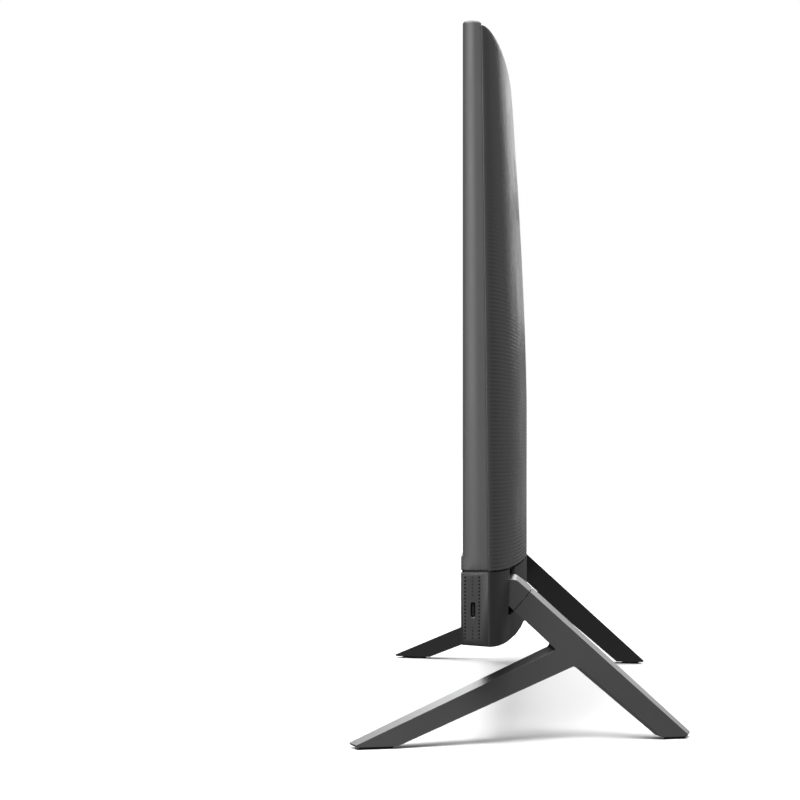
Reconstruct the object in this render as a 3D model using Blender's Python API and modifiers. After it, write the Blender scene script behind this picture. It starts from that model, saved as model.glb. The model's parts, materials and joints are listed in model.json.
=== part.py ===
"""All-in-one desktop computer: a screen head that tilts on a pair of A-shaped legs.

Sizes are in millimetres and are scaled to metres when a mesh is made. +X is the user's right,
-Y is where the screen faces, +Z is up, and the feet stand on z = 0.
"""

import math

import bmesh
import bpy
from mathutils import Matrix, Vector

MM = 0.001
GAP = 0.3                    # clearance between pieces that touch

# Head
HALF_WIDTH = 269.7
TOP_Z = 423.0
SEAM_Z = 102.7               # joint line between the screen part and the speaker bar
SEAM_HALF = 0.6
FRONT_Y = -35.1              # front plane of the screen frame
FRAME_DEPTH_LOW = 14.8       # side frame, front to back, at the seam
FRAME_DEPTH_TOP = 10.7
FRAME_WALL = 2.3
SCREEN_HALF_WIDTH = 263.5    # 23.8 inch, 16:9
SCREEN_LOW_Z = 120.2
SCREEN_HIGH_Z = 416.7
CHIN_TOP_Z = 111.7
CHIN_Y = -36.1
CHIN_SLOPE = 2.7             # height over which the sides swell out to the chin

# Back cover: depth behind the front plane
COVER_DEPTH = 39.9
COVER_TOP_DEPTH = 28.9
COVER_TOP_Z = 420.0
TAPER_START_Z = 202.0        # the back leans forward above this height
COVER_WALL = 2.4
COVER_EDGE = 0.9             # thin edge that shows behind the side frame
PLAN_POWER = 0.48            # how quickly the back swells inward from the sides
CROWN_HEIGHT = 8.0           # height over which the top rounds off
CROWN_POWER = 0.12

# Speaker bar and lower rear housing
BAR_REAR_Y = -20.4
BAR_FRONT_LOW_Z = 60.0
BAR_REAR_LOW_Z = 58.9
LOWER_Z = 58.8
LOWER_ROUND = 6.5            # radius of the lower housing's bottom corner at its deepest
LOWER_ROUND_POWER = 1.6      # how quickly that radius shrinks towards the sides
LOWER_WALL = 2.0

# Hinge shaft between the legs
HINGE_Y = -14.5
HINGE_Z = 86.0
SHAFT_RADIUS = 4.0
SHAFT_CLEARANCE = 0.15

# Legs: flat A-frames that toe out to the front and splay out to the floor
LEG_X = 254.0                # outer face at y = 0, z = 0
LEG_TOE = 0.25
LEG_SPLAY = 0.28
LEG_THICKNESS = 12.5
LEG_CREST = 2.0              # rise of the inner top edge over the outer one
FOOT_Z = 1.5
PAD_HEIGHT = 1.2
HALF_DEPTH = 101.5
SLOT_OUTSIDE = 6.0           # slot in the lower housing, outboard of the leg's outer plane
SLOT_INSIDE = 6.0            # and inboard of its inner plane
SLOT_LOW_Z = 75.0

# Pop-up camera
CAMERA_HALF_WIDTH = 30.0
CAMERA_Y = (-22.6, -12.0)
CAMERA_Z = (390.0, 418.8)

# Ports in the recess at the back: name, centre x, width, height
PORT_LOW_Z = 63.8
PORT_Y = (-22.5, -7.7)
RECESS_HALF_WIDTH = 75.6
RECESS_TOP_Z = 81.6
RECESS_FRONT_Y = -9.5

FAN_X, FAN_Z = -75.0, 291.0
BUTTON_X, BUTTON_Y = 232.0, -28.0
USB_C_Y, USB_C_Z = -29.1, 80.3
SPEAKER_X = (100.0, 222.0)   # ends short of the power button

COLOURS = {
    "frame_plastic": ((0.115, 0.115, 0.117), 0.38, 0.0),
    "cover_plastic": ((0.055, 0.055, 0.057), 0.42, 0.0),
    "bar_plastic": ((0.045, 0.045, 0.047), 0.45, 0.0),
    "leg_metal": ((0.06, 0.06, 0.062), 0.35, 0.0),
    "rubber": ((0.012, 0.012, 0.012), 0.8, 0.0),
    "screen_black": ((0.006, 0.006, 0.007), 0.12, 0.0),
    "bezel_black": ((0.012, 0.012, 0.013), 0.35, 0.0),
    "backlight_tray": ((0.62, 0.62, 0.64), 0.4, 1.0),
    "steel": ((0.5, 0.5, 0.52), 0.35, 1.0),
    "aluminium": ((0.7, 0.71, 0.73), 0.35, 1.0),
    "copper": ((0.72, 0.36, 0.2), 0.3, 1.0),
    "circuit_board": ((0.012, 0.06, 0.035), 0.45, 0.0),
    "black_plastic": ((0.02, 0.02, 0.021), 0.5, 0.0),
    "port_metal": ((0.55, 0.55, 0.57), 0.3, 1.0),
    "grille_fabric": ((0.04, 0.04, 0.042), 0.9, 0.0),
    "lens_glass": ((0.01, 0.01, 0.014), 0.05, 0.0),
}


# ---------------------------------------------------------------- scene helpers

def clear_scene():
    for obj in list(bpy.data.objects):
        bpy.data.objects.remove(obj)


def new_collection(name):
    collection = bpy.data.collections.new(name)
    bpy.context.scene.collection.children.link(collection)
    return collection


def new_material(slot):
    colour, roughness, metallic = COLOURS[slot]
    material = bpy.data.materials.new(slot)
    material.use_nodes = True
    shader = material.node_tree.nodes["Principled BSDF"]
    shader.inputs["Base Color"].default_value = (*colour, 1.0)
    shader.inputs["Roughness"].default_value = roughness
    shader.inputs["Metallic"].default_value = metallic
    return material


def new_pivot(name, x, y, z, parent=None):
    """An empty on a joint's axis, which that joint's pieces are parented to."""
    pivot = bpy.data.objects.new(name, None)
    PARTS.objects.link(pivot)
    pivot.location = Vector((x, y, z)) * MM
    bpy.context.view_layer.update()
    if parent:
        attach(pivot, parent)
    return pivot


def attach(obj, pivot):
    bpy.context.view_layer.update()
    obj.parent = pivot
    obj.matrix_parent_inverse = pivot.matrix_world.inverted()


def piece(name, bm, slot, pivot, centre=(0, 0, 0), smooth=None):
    """Makes a part of a mesh in millimetres whose own origin is at centre."""
    obj = mesh_object(name, bm, centre)
    PARTS.objects.link(obj)
    obj.data.materials.append(MATERIALS[slot])
    if smooth:
        obj.data.shade_smooth()
        obj.data.set_sharp_from_angle(angle=math.radians(smooth))
    attach(obj, pivot)
    return obj


def tool(name, bm, centre=(0, 0, 0)):
    """A cutter, or a shape that is joined to a part."""
    obj = mesh_object(name, bm, centre)
    CUTTERS.objects.link(obj)
    obj.hide_render = True
    obj.display_type = "WIRE"
    return obj


def mesh_object(name, bm, centre):
    bmesh.ops.recalc_face_normals(bm, faces=bm.faces)
    bmesh.ops.scale(bm, vec=(MM, MM, MM), verts=bm.verts)
    mesh = bpy.data.meshes.new(name)
    bm.to_mesh(mesh)
    bm.free()
    obj = bpy.data.objects.new(name, mesh)
    obj.location = Vector(centre) * MM
    return obj


def boolean(target, other, operation="DIFFERENCE"):
    modifier = target.modifiers.new(other.name, "BOOLEAN")
    modifier.operation = operation
    modifier.object = other
    return target


def bevel(obj, width, segments=1, angle=40):
    modifier = obj.modifiers.new("edges", "BEVEL")
    modifier.width = width * MM
    modifier.segments = segments
    modifier.limit_method = "ANGLE"
    modifier.angle_limit = math.radians(angle)
    return obj


# ---------------------------------------------------------------- shapes

def centre_of(x, y, z):
    return tuple((low + high) / 2 for low, high in (x, y, z))


def box_mesh(x, y, z):
    """A box about its own centre, from (low, high) pairs."""
    bm = bmesh.new()
    bmesh.ops.create_cube(bm, size=1)
    sides = [high - low for low, high in (x, y, z)]
    bmesh.ops.scale(bm, vec=sides, verts=bm.verts)
    return bm


def box(name, x, y, z, slot, pivot):
    return piece(name, box_mesh(x, y, z), slot, pivot, centre_of(x, y, z))


def box_tool(name, x, y, z):
    return tool(name, box_mesh(x, y, z), centre_of(x, y, z))


def cut_box(target, name, x, y, z):
    return boolean(target, box_tool(name, x, y, z))


def join_box(target, name, x, y, z):
    return boolean(target, box_tool(name, x, y, z), "UNION")


def rod_mesh(start, end, radius, segments=32, end_radius=None):
    """A cylinder about its own centre, along the line from start to end."""
    along = Vector(end) - Vector(start)
    turn = Vector((0, 0, 1)).rotation_difference(along).to_matrix().to_4x4()
    bm = bmesh.new()
    bmesh.ops.create_cone(
        bm, cap_ends=True, segments=segments, radius1=radius,
        radius2=radius if end_radius is None else end_radius, depth=along.length, matrix=turn,
    )
    return bm


def middle(start, end):
    return tuple((a + b) / 2 for a, b in zip(start, end))


def rod(name, start, end, radius, slot, pivot, segments=32):
    bm = rod_mesh(start, end, radius, segments)
    return piece(name, bm, slot, pivot, middle(start, end), smooth=40)


def rod_tool(name, start, end, radius, segments=32):
    return tool(name, rod_mesh(start, end, radius, segments), middle(start, end))


def cut_rod(target, name, start, end, radius, segments=32):
    return boolean(target, rod_tool(name, start, end, radius, segments))


def join_rod(target, name, start, end, radius, segments=32):
    return boolean(target, rod_tool(name, start, end, radius, segments), "UNION")


def curve_to_bmesh(curve_object):
    """A closed mesh, in millimetres, of a curve that was drawn in millimetres."""
    bpy.context.scene.collection.objects.link(curve_object)
    bpy.context.view_layer.update()
    graph = bpy.context.evaluated_depsgraph_get()
    mesh = bpy.data.meshes.new_from_object(curve_object.evaluated_get(graph))
    bm = bmesh.new()
    bm.from_mesh(mesh)
    bmesh.ops.remove_doubles(bm, verts=bm.verts, dist=0.001)
    bpy.data.objects.remove(curve_object)
    bpy.data.meshes.remove(mesh)
    return bm


def outline_mesh(points, thickness):
    """A flat outline in XY, extruded half its thickness to each side of z = 0."""
    curve = bpy.data.curves.new("outline", "CURVE")
    curve.dimensions = "2D"
    curve.fill_mode = "BOTH"
    curve.extrude = thickness / 2
    spline = curve.splines.new("POLY")
    spline.points.add(len(points) - 1)
    for point, (x, y) in zip(spline.points, points):
        point.co = (x, y, 0, 1)
    spline.use_cyclic_u = True
    return curve_to_bmesh(bpy.data.objects.new("outline", curve))


def tube_mesh(points, radius, resolution):
    curve = bpy.data.curves.new("tube", "CURVE")
    curve.dimensions = "3D"
    curve.bevel_depth = radius
    curve.bevel_resolution = 2
    curve.resolution_u = resolution
    curve.use_fill_caps = True
    spline = curve.splines.new("BEZIER")
    spline.bezier_points.add(len(points) - 1)
    for point, place in zip(spline.bezier_points, points):
        point.co = place
        point.handle_left_type = point.handle_right_type = "AUTO"
    return curve_to_bmesh(bpy.data.objects.new("tube", curve))


def loft(rings):
    """A closed body through rings that hold the same number of points."""
    bm = bmesh.new()
    rows = [[bm.verts.new(point) for point in ring] for ring in rings]
    for lower, upper in zip(rows, rows[1:]):
        for i in range(len(lower)):
            j = (i + 1) % len(lower)
            bm.faces.new((lower[i], lower[j], upper[j], upper[i]))
    bm.faces.new(rows[0])
    bm.faces.new(rows[-1])
    return bm


def mirror_x(bm):
    bmesh.ops.scale(bm, vec=(-1, 1, 1), verts=bm.verts)
    bmesh.ops.reverse_faces(bm, faces=bm.faces)
    return bm


def bulged_body(grid, front_low, front_high):
    """A closed body behind a flat front: grid rows run from the top down, columns along X.

    front_low and front_high are the (y, z) of the front face's bottom and top edges. With
    front_low None, the last row already lies in the front face.
    """
    bm = bmesh.new()
    rows = [[bm.verts.new(point) for point in row] for row in grid]
    for upper, lower in zip(rows, rows[1:]):
        for i in range(len(upper) - 1):
            bm.faces.new((upper[i], upper[i + 1], lower[i + 1], lower[i]))
    ends = (grid[0][0][0], grid[0][-1][0])
    high = [bm.verts.new((x, *front_high)) for x in ends]
    low = [bm.verts.new((x, *front_low)) for x in ends] if front_low else []
    bm.faces.new([high[0], *rows[0], high[1]])
    bm.faces.new([high[0], *low[:1], *[row[0] for row in reversed(rows)]])
    bm.faces.new([high[1], *low[1:], *[row[-1] for row in reversed(rows)]])
    if low:
        bm.faces.new([low[0], *rows[-1], low[1]])
        bm.faces.new([high[0], high[1], low[1], low[0]])
    else:
        bm.faces.new([high[0], high[1], *reversed(rows[-1])])
    return bm


# ---------------------------------------------------------------- the back's surface

SIDE_STEPS = (0.0, 0.004, 0.015, 0.035, 0.07, 0.12, 0.19, 0.28, 0.4, 0.55, 0.75, 1.0)
CROWN_STEPS = (0.0, 0.03, 0.12, 0.3, 0.6, 1.0)


def frame_depth(z):
    return FRAME_DEPTH_LOW + (FRAME_DEPTH_TOP - FRAME_DEPTH_LOW) * (z - SEAM_Z) / (TOP_Z - SEAM_Z)


def centre_depth(z):
    rise = max(0.0, (z - TAPER_START_Z) / (TOP_Z - TAPER_START_Z))
    return COVER_DEPTH - (COVER_DEPTH - COVER_TOP_DEPTH) * rise ** 1.5


def swell(t, power):
    return (1 - (1 - min(t, 1.0)) ** 2) ** power


def column_places(half_width):
    """X of each column, close together near the sides where the back turns fastest."""
    left = [-half_width * (1 - t) for t in SIDE_STEPS]
    return left + [-x for x in reversed(left[:-1])]


def cover_grid(wall, bottom_z):
    """Rows of the back cover's outer surface, or of its inner surface for a wall over zero."""
    half_width = HALF_WIDTH - wall
    top = COVER_TOP_Z - wall
    heights = [top - CROWN_HEIGHT * step for step in CROWN_STEPS]
    heights += [396, 375, 350, 320, 290, 260, 230, TAPER_START_Z, bottom_z]
    grid = []
    for z in heights:
        edge = frame_depth(z) + COVER_EDGE
        crown = swell((top - z) / CROWN_HEIGHT, CROWN_POWER)
        row = []
        for x in column_places(half_width):
            reach = swell(1 - abs(x) / half_width, PLAN_POWER) * crown
            depth = edge + (centre_depth(z) - wall - edge) * reach
            row.append((x, FRONT_Y + depth, z))
        grid.append(row)
    return grid


def lower_depth(x, half_width):
    edge = FRAME_DEPTH_LOW + 0.9
    reach = swell(1 - abs(x) / half_width, PLAN_POWER)
    return edge + (COVER_DEPTH - edge) * reach


def lower_grid(wall, top_z, front_y):
    """Rows of the lower rear housing's surface: down the back, round the corner, to the front."""
    half_width = HALF_WIDTH - wall
    bottom = LOWER_Z + wall
    columns = []
    for x in column_places(half_width):
        rear = FRONT_Y + lower_depth(x, half_width) - wall
        share = (rear + wall - BAR_REAR_Y) / (FRONT_Y + COVER_DEPTH - BAR_REAR_Y)
        turn = max(0.2, LOWER_ROUND * share ** LOWER_ROUND_POWER - wall)
        column = [(x, rear, top_z), (x, rear, bottom + turn)]
        for step in range(1, 6):
            angle = math.radians(90 * step / 5)
            y = rear - turn + turn * math.cos(angle)
            z = bottom + turn - turn * math.sin(angle)
            column.append((x, y, z))
        column.append((x, front_y, bottom + 0.6))
        columns.append(column)
    return [list(row) for row in zip(*columns)]


# ---------------------------------------------------------------- stand

def leg_plane(y, z):
    return LEG_X - LEG_TOE * y - LEG_SPLAY * z


def plate(outer, inner):
    """A right-hand plate between an outline on the legs' outer plane and one on the inner."""
    rings = [
        [(leg_plane(y, z), y, z) for y, z in outer],
        [(leg_plane(y, z) - LEG_THICKNESS, y, z) for y, z in inner],
    ]
    return loft(rings)


def fillet(corner, before, after, radius, steps=3):
    """Points of an arc that rounds the corner between two straight edges."""
    corner, before, after = Vector(corner), Vector(before), Vector(after)
    one = (before - corner).normalized()
    two = (after - corner).normalized()
    half_angle = one.angle(two) / 2
    reach = radius / math.tan(half_angle)
    centre = corner + (one + two).normalized() * (radius / math.sin(half_angle))
    start = corner + one * reach - centre
    end = corner + two * reach - centre
    sweep = start.angle(end)
    points = []
    for step in range(steps + 1):
        f = step / steps
        arm = (start * math.sin((1 - f) * sweep) + end * math.sin(f * sweep)) / math.sin(sweep)
        points.append(tuple(centre + arm))
    return points


SEAM_TOP = Vector((4.5, 88.2))        # where stub and leg meet, on the outer face
SEAM_BOTTOM = Vector((-5.1, 77.4))
SEAM_AXIS = Vector((0.743, -0.669))   # down the rear strut
CREST = Vector((0.669, 0.743)) * LEG_CREST
LEG_INNER_CORNER = (20.2, 53.9)       # front strut's top meets the rear strut's underside
LEG_RAISED_CORNER = (18.0, 56.2)      # the same corner on the inner face
LEG_ARCH = (32.5, 44.8)               # top of the triangle under the leg
LEG_INNER_ARCH = (30.1, 43.8)
LEG_DRAFT = 3.6                       # the rear heel reaches this much further on the inner face
FRONT_TOE_Y = -96.5
FRONT_HEEL_Y = -72.6
REAR_HEEL_Y = 83.5
REAR_TOE_Y = 99.2
TOE_HEIGHT = 1.3                      # each toe ends in a short upright face


def underside(arch, rear_heel_y):
    """The edge of one face from the rear heel, over the arch, to the front heel."""
    heels = ((rear_heel_y, FOOT_Z), (FRONT_HEEL_Y, FOOT_Z))
    return [heels[0], *fillet(arch, *heels, 5), heels[1]]


def leg_outlines():
    """The leg's outline on its outer face and, with its top edges raised, on its inner face."""
    top = SEAM_TOP + SEAM_AXIS * GAP
    bottom = SEAM_BOTTOM + SEAM_AXIS * GAP
    blunt_z = FOOT_Z + TOE_HEIGHT
    toe = (FRONT_TOE_Y, blunt_z)
    corner = fillet(LEG_INNER_CORNER, toe, tuple(bottom), 0.8)
    outer = [(FRONT_TOE_Y + 0.5, FOOT_Z), toe, *corner, tuple(bottom), tuple(top)]
    outer += [(REAR_TOE_Y, blunt_z), (REAR_TOE_Y - 0.7, FOOT_Z), *underside(LEG_ARCH, REAR_HEEL_Y)]
    toe = (-HALF_DEPTH, blunt_z)
    raised = fillet(LEG_RAISED_CORNER, toe, tuple(bottom), 2.5)
    inner = [(-HALF_DEPTH + 1.3, FOOT_Z), toe, *raised, tuple(bottom), tuple(top + CREST)]
    inner += [(HALF_DEPTH, blunt_z), (HALF_DEPTH - 0.4, FOOT_Z)]
    inner += underside(LEG_INNER_ARCH, REAR_HEEL_Y - LEG_DRAFT)
    return outer, inner


def stub_outlines():
    """The short casting that carries the leg into the housing, on the same two planes."""
    root_z = HINGE_Z - 5.0
    outer = [
        tuple(SEAM_BOTTOM), (-9.6, 81.3), (HINGE_Y, root_z), (HINGE_Y, 92.0), (-11.0, 96.0),
        (-8.7, 96.0), (-5.0, 95.5), (-2.7, 94.6), (1.0, 91.3), tuple(SEAM_TOP),
    ]
    inner = [
        tuple(SEAM_BOTTOM), (-9.6, 81.3), (HINGE_Y, root_z), (HINGE_Y, 92.0), (-11.0, 98.0),
        (-8.7, 98.1), (-4.2, 97.9), (-2.0, 96.7), (2.1, 93.5), tuple(SEAM_TOP + CREST),
    ]
    return outer, inner


def sided(bm, side):
    return bm if side == "right" else mirror_x(bm)


def make_leg(side, stand):
    sign = 1 if side == "right" else -1
    leg_body = sided(plate(*leg_outlines()), side)
    leg = piece(f"{side}_leg", leg_body, "leg_metal", stand, smooth=30)
    stub_body = sided(plate(*stub_outlines()), side)
    stub = piece(f"{side}_stand_stub", stub_body, "leg_metal", stand, smooth=30)
    hub_x = (212.0 * sign, 224.5 * sign)
    hub = [(x, HINGE_Y, HINGE_Z) for x in hub_x]
    join_rod(stub, f"{side}_hub", *hub, 6.5)
    bore = [(x, HINGE_Y, HINGE_Z) for x in (205.0 * sign, 235.0 * sign)]
    cut_rod(stub, f"{side}_hub_bore", *bore, SHAFT_RADIUS + GAP)
    seam = (SEAM_TOP + SEAM_BOTTOM) / 2
    seam_x = (leg_plane(*seam) - LEG_THICKNESS / 2) * sign
    along = Vector((0, *SEAM_AXIS))
    centre = Vector((seam_x, *seam))
    for target, reach in ((leg, 15.0), (stub, -9.0)):
        ends = sorted((reach, -1.0 if reach > 0 else 1.0))
        span = [tuple(centre + along * end) for end in ends]
        cut_rod(target, f"{target.name}_stud_hole", *span, 3.0, 16)
    stud = [tuple(centre + along * end) for end in (-8.5, 14.5)]
    rod(f"{side}_leg_stud", *stud, 2.6, "steel", stand, 16)


def make_pad(name, side, heel_y, toe_y, stand):
    low, high = sorted((heel_y, toe_y))
    rings = []
    for z in (0.0, PAD_HEIGHT):
        outer = [(leg_plane(y, FOOT_Z) - 2.0, y, z) for y in (low, high)]
        inner = [(leg_plane(y, FOOT_Z) - LEG_THICKNESS + 2.0, y, z) for y in (high, low)]
        rings.append(outer + inner)
    piece(name, sided(loft(rings), side), "rubber", stand)


def make_stand(stand):
    reach = 224.0
    ends = [(x, HINGE_Y, HINGE_Z) for x in (-reach, reach)]
    rod("stand_crossbar", *ends, SHAFT_RADIUS, "steel", stand)
    for side in ("left", "right"):
        make_leg(side, stand)
        make_pad(f"{side}_front_foot_pad", side, FRONT_HEEL_Y - 3, FRONT_TOE_Y + 1.5, stand)
        make_pad(f"{side}_rear_foot_pad", side, REAR_HEEL_Y + 1.5, REAR_TOE_Y - 1.5, stand)


# ---------------------------------------------------------------- screen and casing

def make_middle_frame(head):
    low_z = SEAM_Z + SEAM_HALF
    rings = []
    for half_width in (HALF_WIDTH, -HALF_WIDTH):
        rings.append([
            (half_width, CHIN_Y, low_z), (half_width, CHIN_Y, CHIN_TOP_Z - CHIN_SLOPE),
            (half_width, FRONT_Y, CHIN_TOP_Z), (half_width, FRONT_Y, TOP_Z),
            (half_width, FRONT_Y + frame_depth(TOP_Z), TOP_Z),
            (half_width, FRONT_Y + frame_depth(low_z), low_z),
        ])
    frame = piece("middle_frame", loft(rings), "frame_plastic", head)
    bevel(frame, 0.8, 2)
    inside = HALF_WIDTH - FRAME_WALL
    cut_box(frame, "frame_inside", (-inside, inside), (-60, 0), (90, TOP_Z - FRAME_WALL))
    return frame


def make_screen(head):
    wide = HALF_WIDTH - FRAME_WALL - GAP
    low, high = CHIN_TOP_Z + 0.6, TOP_Z - FRAME_WALL - GAP
    bezel = box("front_bezel", (-wide, wide), (FRONT_Y + 0.2, -33.4), (low, high), "bezel_black", head)
    active = (-SCREEN_HALF_WIDTH - 0.3, SCREEN_HALF_WIDTH + 0.3)
    cut_box(bezel, "screen_opening", active, (-40, -30), (SCREEN_LOW_Z - 0.3, SCREEN_HIGH_Z + 0.3))
    chin = box("chin_strip", (-wide, wide), (CHIN_Y, CHIN_Y + 1.8),
               (SEAM_Z + SEAM_HALF, CHIN_TOP_Z), "frame_plastic", head)
    bevel(chin, 0.5)
    box("lcd_panel", (-wide, wide), (-33.1, -31.7), (low, high), "screen_black", head)
    box("backlight_unit", (-wide + 1, wide - 1), (-31.4, -27.2), (low + 1, high - 1), "backlight_tray", head)


def make_back_cover(head):
    low_z = SEAM_Z + SEAM_HALF
    outer_front = [(FRONT_Y + frame_depth(z) + GAP, z) for z in (low_z, COVER_TOP_Z)]
    outer = bulged_body(cover_grid(0.0, low_z), *outer_front)
    cover = piece("back_cover", outer, "cover_plastic", head, smooth=35)
    inner = bulged_body(cover_grid(COVER_WALL, 90.0), (-60, 90.0), (-60, COVER_TOP_Z - COVER_WALL))
    boolean(cover, tool("cover_hollow", inner))
    wide = CAMERA_HALF_WIDTH + 0.4
    depth = (CAMERA_Y[0] - 0.4, CAMERA_Y[1] + 0.4)
    cut_box(cover, "camera_slot", (-wide, wide), depth, (412, 430))


def make_speaker_bar(head):
    high_z = SEAM_Z - SEAM_HALF
    rings = []
    for x in (HALF_WIDTH, -HALF_WIDTH):
        rings.append([
            (x, CHIN_Y, BAR_FRONT_LOW_Z), (x, CHIN_Y, high_z),
            (x, BAR_REAR_Y, high_z), (x, BAR_REAR_Y, BAR_REAR_LOW_Z),
        ])
    bar = piece("speaker_bar_housing", loft(rings), "bar_plastic", head)
    bevel(bar, 0.8)
    inside = HALF_WIDTH - LOWER_WALL
    cut_box(bar, "bar_hollow", (-inside, inside), (CHIN_Y + 2, 0), (63.5, 110))
    cut_box(bar, "grille_opening", (-255, 255), (-40, -33), (66, 98))
    cut_box(bar, "usb_c_opening", (260, 275), (USB_C_Y - 1.9, USB_C_Y + 1.9), (USB_C_Z - 4.8, USB_C_Z + 4.8))
    jack = [(x, USB_C_Y, USB_C_Z) for x in (-275, -260)]
    cut_rod(bar, "headset_opening", *jack, 3.3, 24)
    cut_box(bar, "button_opening", (BUTTON_X - 6, BUTTON_X + 6), (BUTTON_Y - 3, BUTTON_Y + 3), (55, 66))
    box("speaker_grille", (-254.7, 254.7), (CHIN_Y, CHIN_Y + 1.4), (66.3, 97.7), "grille_fabric", head)
    for side, sign in (("left", -1), ("right", 1)):
        span = sorted(x * sign for x in SPEAKER_X)
        speaker = box(f"{side}_speaker", span, (-33.9, -25.8), (66, 98), "black_plastic", head)
        cone = [(160 * sign, y, 82) for y in (-36, -30)]
        cut_rod(speaker, f"{side}_speaker_cone", *cone, 12, 24)


def lower_outer(wall=0.0):
    high_z = SEAM_Z - SEAM_HALF
    front_y = BAR_REAR_Y + GAP
    if wall:
        high_z, front_y = high_z + 10, front_y - 10
    return bulged_body(lower_grid(wall, high_z, front_y), None, (front_y, high_z))


def stub_slot():
    """The right-hand stub's slot, which leans with the leg and is open to the seam."""
    rings = []
    for z in (SLOT_LOW_Z, SEAM_Z + 5):
        high_x = leg_plane(-9, z) + SLOT_OUTSIDE
        low_x = leg_plane(-9, z) - LEG_THICKNESS - SLOT_INSIDE
        rings.append([(low_x, -17, z), (high_x, -17, z), (high_x, 10, z), (low_x, 10, z)])
    return loft(rings)


def make_lower_housing(head):
    housing = piece("lower_rear_housing", lower_outer(), "bar_plastic", head, smooth=35)
    boolean(housing, tool("lower_hollow", lower_outer(LOWER_WALL)))
    for side in ("left", "right"):
        boolean(housing, tool(f"{side}_stub_slot", sided(stub_slot(), side)))
    wide = RECESS_HALF_WIDTH + 0.4
    cut_box(housing, "port_recess", (-wide, wide), (RECESS_FRONT_Y - GAP, 20), (40, RECESS_TOP_Z + GAP))


# ---------------------------------------------------------------- ports

def make_port_shell(name, x, width, height, slot, head):
    span = (x - width / 2, x + width / 2)
    return box(name, span, PORT_Y, (PORT_LOW_Z, PORT_LOW_Z + height), slot, head)


def socket(port, x, z, width, height, depth):
    """A rectangular socket that faces the rear."""
    span = (x - width / 2, x + width / 2)
    rise = (z - height / 2, z + height / 2)
    cut_box(port, f"{port.name}_socket_{z:.0f}", span, (PORT_Y[1] - depth, 0), rise)


def tongue(port, x, z, width, height, depth):
    """The contact tongue that stands in a socket from its back wall."""
    span = (x - width / 2, x + width / 2)
    rise = (z - height / 2, z + height / 2)
    join_box(port, f"{port.name}_tongue_{z:.0f}", span, (PORT_Y[1] - depth - 1, PORT_Y[1] - 1), rise)


def make_rear_ports(head):
    low, front = 50, RECESS_FRONT_Y
    wide = RECESS_HALF_WIDTH
    panel = box("io_panel", (-wide, wide), (front, 8), (low, RECESS_TOP_Z), "black_plastic", head)
    cut_box(panel, "panel_inside", (1.5 - wide, wide - 1.5), (front + 1.5, 20), (40, RECESS_TOP_Z - 1.5))
    boolean(panel, tool("panel_trim", lower_outer()), "INTERSECT")
    ports = {
        "power_inlet": (-60.0, 11.0, 11.0, "black_plastic"),
        "ethernet_port": (-36.0, 16.0, 13.4, "port_metal"),
        "hdmi_port": (-8.0, 15.0, 6.0, "port_metal"),
        "usb_a_stack_1": (18.0, 14.4, 15.4, "port_metal"),
        "usb_a_stack_2": (42.0, 14.4, 15.4, "port_metal"),
    }
    made = {}
    for name, (x, width, height, slot) in ports.items():
        made[name] = make_port_shell(name, x, width, height, slot, head)
        opening = (x - width / 2 - GAP, x + width / 2 + GAP)
        rise = (PORT_LOW_Z - GAP, PORT_LOW_Z + height + GAP)
        cut_box(panel, f"{name}_opening", opening, (front - 1, front + 3), rise)
    power_z = PORT_LOW_Z + 5.5
    power = made["power_inlet"]
    cut_rod(power, "power_bore", (-60, PORT_Y[1] - 10, power_z), (-60, 0, power_z), 3.9, 24)
    join_rod(power, "power_pin", (-60, PORT_Y[1] - 11, power_z), (-60, PORT_Y[1] - 1, power_z), 0.9, 12)
    socket(made["ethernet_port"], -36, PORT_LOW_Z + 6.2, 11.8, 9.0, 12.5)
    socket(made["hdmi_port"], -8, PORT_LOW_Z + 3.0, 13.6, 4.4, 9)
    tongue(made["hdmi_port"], -8, PORT_LOW_Z + 3.0, 10.0, 1.2, 9)
    for name in ("usb_a_stack_1", "usb_a_stack_2"):
        x = ports[name][0]
        for z in (PORT_LOW_Z + 3.9, PORT_LOW_Z + 11.5):
            socket(made[name], x, z, 12.5, 5.1, 11)
            tongue(made[name], x, z + 0.9, 11.1, 1.8, 11)
    box("io_board", (-72, 56), (BAR_REAR_Y + 0.6, RECESS_FRONT_Y - 2 * GAP), (62.1, 63.4), "circuit_board", head)


def make_side_ports(head):
    shell = box("usb_c_port", (259.5, 269.4), (USB_C_Y - 1.6, USB_C_Y + 1.6),
                (USB_C_Z - 4.47, USB_C_Z + 4.47), "port_metal", head)
    cut_box(shell, "usb_c_socket", (261.5, 275), (USB_C_Y - 1.25, USB_C_Y + 1.25), (USB_C_Z - 4.1, USB_C_Z + 4.1))
    join_box(shell, "usb_c_tongue", (260.5, 268.4), (USB_C_Y - 0.35, USB_C_Y + 0.35), (USB_C_Z - 3.3, USB_C_Z + 3.3))
    box("usb_c_board", (236, 262), (-27.2, -26.2), (68, 97), "circuit_board", head)
    ends = [(x, USB_C_Y, USB_C_Z) for x in (-269.4, -254)]
    jack = rod("headset_jack", *ends, 3.0, "black_plastic", head, 24)
    bore = [(x, USB_C_Y, USB_C_Z) for x in (-275, -256)]
    cut_rod(jack, "headset_bore", *bore, 1.75, 16)


# ---------------------------------------------------------------- inside the head

BOARD_HOLES = ((-112, 136), (92, 136), (-112, 242), (92, 242))
HINGE_HOLES = (120, 155)
BRACKET_X = 149


def make_screw(name, x, z, head_y, end_y, radius, head):
    """A pan-head screw that points at the screen."""
    screw = rod(name, (x, head_y, z), (x, head_y + 1.8, z), radius * 2.2, "steel", head, 16)
    join_rod(screw, f"{name}_shank", (x, end_y, z), (x, head_y + 0.5, z), radius, 12)


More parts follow.
